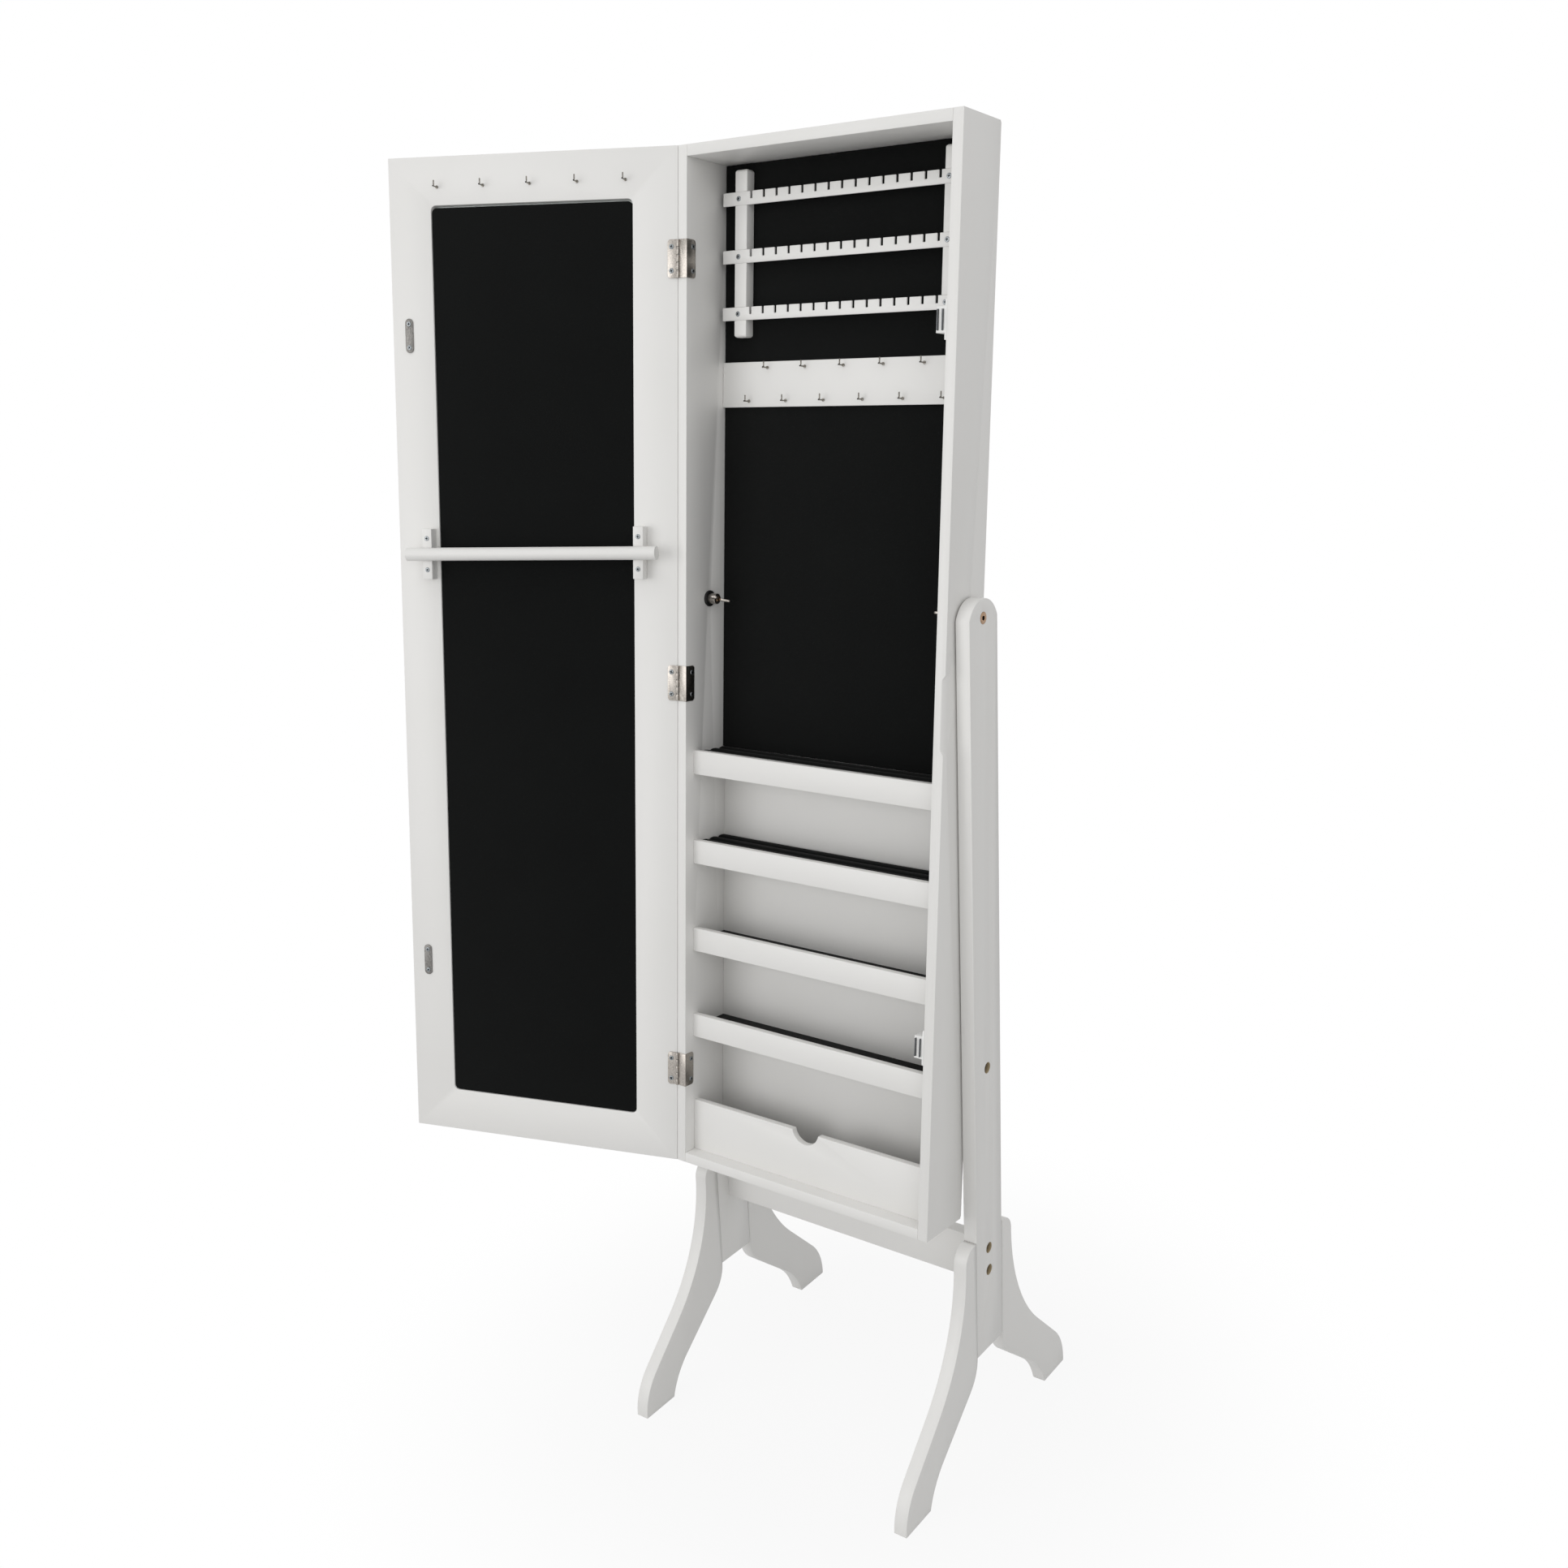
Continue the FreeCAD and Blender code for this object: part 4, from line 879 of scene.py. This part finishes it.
class MIRRORCABINET_OT_screws(bpy.types.Operator):
    """Drives the cross-head screws of hinges, earring rails, rod blocks and strike plates"""
    bl_idname = "mirror_cabinet.screws"
    bl_label = "Drive the Screws"

    def execute(self, context):
        sizes, colours = chosen(context)
        pattern = cross_head_screw(sizes, screw_zinc(colours), painted_socket_shade(colours))
        for body, matrices in (("cabinet", self.cabinet_screws(sizes)), ("door", self.door_screws(sizes))):
            screws = []
            for i, matrix in enumerate(matrices):
                turned = matrix @ Matrix.Rotation(i * sizes.screw_turn, 4, "Z")
                screws.append(place_copy(pattern, f"{body}_screw_{i}", turned))
            whole = join(screws, f"{body}_screws")
            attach(whole, body)
        discard(pattern)
        return {"FINISHED"}

    @staticmethod
    def cabinet_screws(sizes):
        """Two screws in each cabinet leaf, and one where each earring rail crosses a batten."""
        share_across_batten = 0.3
        matrices = []
        for level in LEVELS:
            low, high = box_in(f"hinge_cabinet_leaf_{level}", CABINET)
            for z in pair((low.z + high.z) / 2, sizes.leaf_screw_spacing):
                matrices.append(facing(CABINET, (high.x, high.y - sizes.leaf_screw_inset, z), (1, 0, 0)))
        for level in LEVELS:
            low, high = box_in(f"earring_rail_{level}", CABINET)
            for side in SIDES:
                left, right = (corner.x for corner in box_in(f"earring_batten_{side}", CABINET))
                across = left + (right - left) * share_across_batten
                matrices.append(facing(CABINET, (across, low.y, (low.z + high.z) / 2), (0, -1, 0)))
        return matrices

    @staticmethod
    def door_screws(sizes):
        """Two screws in each door leaf, rod block and strike plate."""
        places = []
        leaf_face = box_in("door_frame", DOOR)[1].y + sizes.leaf_plate
        for level in LEVELS:
            low, high = box_in(f"hinge_door_leaf_{level}", DOOR)
            for z in pair((low.z + high.z) / 2, sizes.leaf_screw_spacing):
                places.append((high.x - sizes.leaf_screw_inset, leaf_face, z))
        for side in SIDES:
            low, high = box_in(f"rod_block_{side}", DOOR)
            for z in pair((low.z + high.z) / 2, sizes.block_screw_spacing):
                places.append(((low.x + high.x) / 2, high.y, z))
        low, high = box_in("strike_plates", DOOR)
        for middle in (low.z + sizes.strike_height / 2, high.z - sizes.strike_height / 2):
            for z in pair(middle, sizes.strike_screw_spacing):
                places.append(((low.x + high.x) / 2, high.y, z))
        return [facing(DOOR, place, (0, 1, 0)) for place in places]


class MIRRORCABINET_OT_hinges(bpy.types.Operator):
    """Rounds the hinge leaves' corners and plates them with nickel"""
    bl_idname = "mirror_cabinet.hinges"
    bl_label = "Fit the Hinges"

    def execute(self, context):
        sizes, colours = chosen(context)
        for kind, matrix, outer in (("cabinet", CABINET, 1), ("door", DOOR, 0)):
            for level in LEVELS:
                node = f"hinge_{kind}_leaf_{level}"
                piece = merged_copy(node, f"{node}_rounded")
                self.part_knuckles(piece, sizes)
                self.round_corners(piece, matrix, outer, box_in(node, matrix)[1][outer], sizes)
                add_bevel(piece, sizes.metal_ease)
                set_material(piece, nickel(colours))
                stand_for(piece, node)
        set_material(frame["nodes"]["hinge_pins"], nickel(colours))
        return {"FINISHED"}

    @staticmethod
    def part_knuckles(piece, sizes):
        """Draws the inner ends of a leaf's knuckles back, so that the lines between them show."""
        local = [CABINET.inverted() @ v.co for v in piece.data.vertices]
        low, high = min(p.z for p in local), max(p.z for p in local)
        pitch = (high - low) / sizes.knuckle_count
        up = CABINET.to_3x3() @ Vector((0, 0, sizes.knuckle_gap))
        for v, p in zip(piece.data.vertices, local):
            line = round((p.z - low) / pitch)
            away = p.z - low - line * pitch
            in_barrel = (p - HINGE_LINE).xy.length < sizes.barrel
            if in_barrel and 0 < line < sizes.knuckle_count and abs(away) < 2 * sizes.knuckle_gap:
                v.co += math.copysign(1, away) * up

    @staticmethod
    def round_corners(piece, matrix, axis, edge, sizes):
        """Rounds the two corners at a leaf's free edge, which run through its thickness."""
        inverse = matrix.inverted()
        through = 1 - axis

        def at_corner(a, b):
            a, b = inverse @ a, inverse @ b
            on_edge = max(abs(a[axis] - edge), abs(b[axis] - edge)) < SAME_PLACE
            level = abs(a.z - b.z) < SAME_PLACE
            return on_edge and level and abs(a[through] - b[through]) > sizes.leaf_plate / 2

        select_edges(piece, at_corner)
        select_only(piece)
        bevel_selected(sizes.leaf_corner, 6)


class MIRRORCABINET_OT_catches(bpy.types.Operator):
    """Finishes the magnetic catches and their strike plates"""
    bl_idname = "mirror_cabinet.catches"
    bl_label = "Fit the Catches"

    def execute(self, context):
        sizes, colours = chosen(context)
        eased_node("catch_bodies", sizes.plastic_ease, catch_plastic(colours))
        eased_node("catch_plates", sizes.metal_ease, catch_steel(colours))
        eased_node("strike_plates", sizes.strike_ease, zinc(colours))
        set_material(frame["nodes"]["catch_magnets"], catch_steel(colours))
        return {"FINISHED"}


class MIRRORCABINET_OT_pivots(bpy.types.Operator):
    """Finishes the pivot bolts, spacers, washers, wing nuts and stretcher bolts"""
    bl_idname = "mirror_cabinet.pivots"
    bl_label = "Fit the Pivots"

    def execute(self, context):
        sizes, colours = chosen(context)
        for node in ("pivot_bolts", "stretcher_bolts"):
            bolts = eased_node(node, sizes.metal_ease, yellow_zinc(colours))
            self.paint_socket_shade(bolts, sizes, painted_socket_shade(colours))
        for node in ("pivot_spacers", "pivot_washers"):
            eased_node(node, sizes.metal_ease, black_nylon(colours))
        for side in SIDES:
            eased_node(f"wing_nut_{side}", sizes.wing_ease, nickel(colours), segments=3)
        return {"FINISHED"}

    @staticmethod
    def paint_socket_shade(bolts, sizes, finish):
        """Gives the walls and floors of the hexagon sockets a dark finish: painted shade of the recess."""
        bolts.data.materials.append(finish)
        rim = max(abs(v.co.x) for v in bolts.data.vertices)
        heights = [v.co.z for v in bolts.data.vertices if abs(v.co.x) > rim - SAME_PLACE]
        low, high, head = min(heights), max(heights), bolt_head()
        one_level = high - low < 2.2 * head
        axes = [(low + high) / 2] if one_level else [low + head, high - head]
        deepest = rim - sizes.socket_depth
        mark_bores(bolts, axes, 0.6 * sizes.bolt_socket, lambda distance: distance > deepest)


class MIRRORCABINET_OT_mirror(bpy.types.Operator):
    """Silvers the door's mirror"""
    bl_idname = "mirror_cabinet.mirror"
    bl_label = "Silver the Mirror"

    def execute(self, context):
        sizes, colours = chosen(context)
        eased_node("mirror_glass", sizes.glass_ease, mirror_silver(colours))
        return {"FINISHED"}


# Stage

def seen_white(tree, lit, share_of_white):
    """Mixes a surface or background with plain white for the rays that look at it directly."""
    path = add_node(tree, "LightPath")
    seen = path.outputs["Is Camera Ray"]
    for ray in ("Is Glossy Ray", "Is Transmission Ray"):
        either = add_node(tree, "Math", {0: seen, 1: path.outputs[ray]}, operation="MAXIMUM")
        seen = either.outputs["Value"]
    share = add_node(tree, "Math", {0: seen, 1: share_of_white}, operation="MULTIPLY")
    plain = "Background" if lit.node.type == "BACKGROUND" else "Emission"
    white = add_node(tree, plain, {"Color": (1, 1, 1, 1), "Strength": 1.0})
    return add_node(tree, "MixShader", {0: share.outputs["Value"], 1: lit, 2: white.outputs[0]})


class MIRRORCABINET_OT_stage(bpy.types.Operator):
    """Sets the pale floor, the soft light and the photograph's camera"""
    bl_idname = "mirror_cabinet.stage"
    bl_label = "Set the Stage"

    def execute(self, context):
        self.add_floor(context.scene)
        self.add_light(context.scene)
        self.add_camera(context.scene)
        context.scene.view_settings.view_transform = "Standard"
        return {"FINISHED"}

    @staticmethod
    def add_floor(scene):
        floor = primitive(bpy.ops.mesh.primitive_plane_add, size=14)
        floor.name = "studio_floor"
        material, tree, shader, place = new_finish("studio_floor_paper")
        set_inputs(tree, shader, {"Base Color": tuple(scene.cabinet_colours.floor), "Roughness": 0.9})
        # Near the feet it keeps their shadow, and it fades to plain white further out.
        distance = add_node(tree, "VectorMath", {0: place}, operation="LENGTH")
        fade = add_node(tree, "MapRange", {
            "Value": distance.outputs["Value"], "From Min": 0.2, "From Max": 0.7,
            "To Min": 0.9, "To Max": 1.0,
        }, interpolation_type="SMOOTHSTEP")
        mix = seen_white(tree, shader.outputs["BSDF"], fade.outputs["Result"])
        tree.links.new(mix.outputs["Shader"], tree.nodes["Material Output"].inputs["Surface"])
        set_material(floor, material)

    @staticmethod
    def add_light(scene):
        scene.world = scene.world or bpy.data.worlds.new("studio")
        scene.world.use_nodes = True
        tree = scene.world.node_tree
        sky = tree.nodes["Background"]
        set_inputs(tree, sky, {"Color": (1, 1, 1, 1), "Strength": 0.6})
        mix = seen_white(tree, sky.outputs["Background"], 1.0)
        tree.links.new(mix.outputs["Shader"], tree.nodes["World Output"].inputs["Surface"])
        # Each lamp's name, place and width in metres, and power in watts. All point at the cabinet.
        lamps = (
            ("key_light", (-1.8, -4.3, 1.5), 3.4, 55),
            ("fill_light", (2.8, -2.5, 2.2), 3.2, 20),
            ("top_light", (-0.4, -1.8, 6.0), 3.2, 32),
        )
        cabinet_middle = Vector((-0.1, 0, 0.85))
        for name, place, width, power in lamps:
            bpy.ops.object.light_add(type="AREA", location=place)
            lamp = bpy.context.object
            lamp.name = name
            lamp.data.shape = "DISK"
            lamp.data.size = width
            lamp.data.energy = power
            aim = cabinet_middle - Vector(place)
            lamp.rotation_euler = aim.to_track_quat("-Z", "Y").to_euler()

    @staticmethod
    def add_camera(scene):
        view = scene.cabinet_view
        turn = (Matrix.Rotation(view.azimuth, 4, "Z") @ Matrix.Rotation(math.pi / 2 - view.elevation, 4, "X")
                @ Matrix.Rotation(view.roll, 4, "Z"))
        bpy.ops.object.camera_add(location=view.place, rotation=turn.to_euler())
        camera = bpy.context.object
        camera.data.sensor_fit = "HORIZONTAL"
        camera.data.sensor_width = view.film
        camera.data.lens = view.lens
        scene.camera = camera


class MIRRORCABINET_PT_finishing(bpy.types.Panel):
    """Sizes, colours and steps of the finishing"""
    bl_label = "Mirror Cabinet"
    bl_space_type = "VIEW_3D"
    bl_region_type = "UI"
    bl_category = "Mirror Cabinet"

    def draw(self, context):
        for group in (getattr(context.scene, name) for name in GROUPS):
            column = self.layout.column(align=True)
            for name in group.bl_rna.properties.keys():
                if name not in ("rna_type", "name"):
                    column.prop(group, name)
        for operator in STEPS:
            self.layout.operator(operator.bl_idname)


STEPS = (
    MIRRORCABINET_OT_boards, MIRRORCABINET_OT_linings, MIRRORCABINET_OT_ring_rolls, MIRRORCABINET_OT_hooks,
    MIRRORCABINET_OT_hinges, MIRRORCABINET_OT_screws, MIRRORCABINET_OT_catches, MIRRORCABINET_OT_pivots,
    MIRRORCABINET_OT_mirror, MIRRORCABINET_OT_stage,
)
GROUPS = {"cabinet_sizes": CabinetSizes, "cabinet_colours": CabinetColours, "cabinet_view": CabinetView}
CLASSES = (*GROUPS.values(), *STEPS, MIRRORCABINET_PT_finishing)


def register():
    for cls in CLASSES:
        bpy.utils.register_class(cls)
    for name, group in GROUPS.items():
        setattr(bpy.types.Scene, name, bpy.props.PointerProperty(type=group))


def unregister():
    for name in GROUPS:
        delattr(bpy.types.Scene, name)
    for cls in reversed(CLASSES):
        bpy.utils.unregister_class(cls)


def main():
    register()
    bpy.ops.mirror_cabinet.boards()
    bpy.ops.mirror_cabinet.linings()
    bpy.ops.mirror_cabinet.ring_rolls()
    bpy.ops.mirror_cabinet.hooks()
    bpy.ops.mirror_cabinet.hinges()
    bpy.ops.mirror_cabinet.screws()
    bpy.ops.mirror_cabinet.catches()
    bpy.ops.mirror_cabinet.pivots()
    bpy.ops.mirror_cabinet.mirror()
    bpy.ops.mirror_cabinet.stage()


if __name__ == "__main__":
    main()
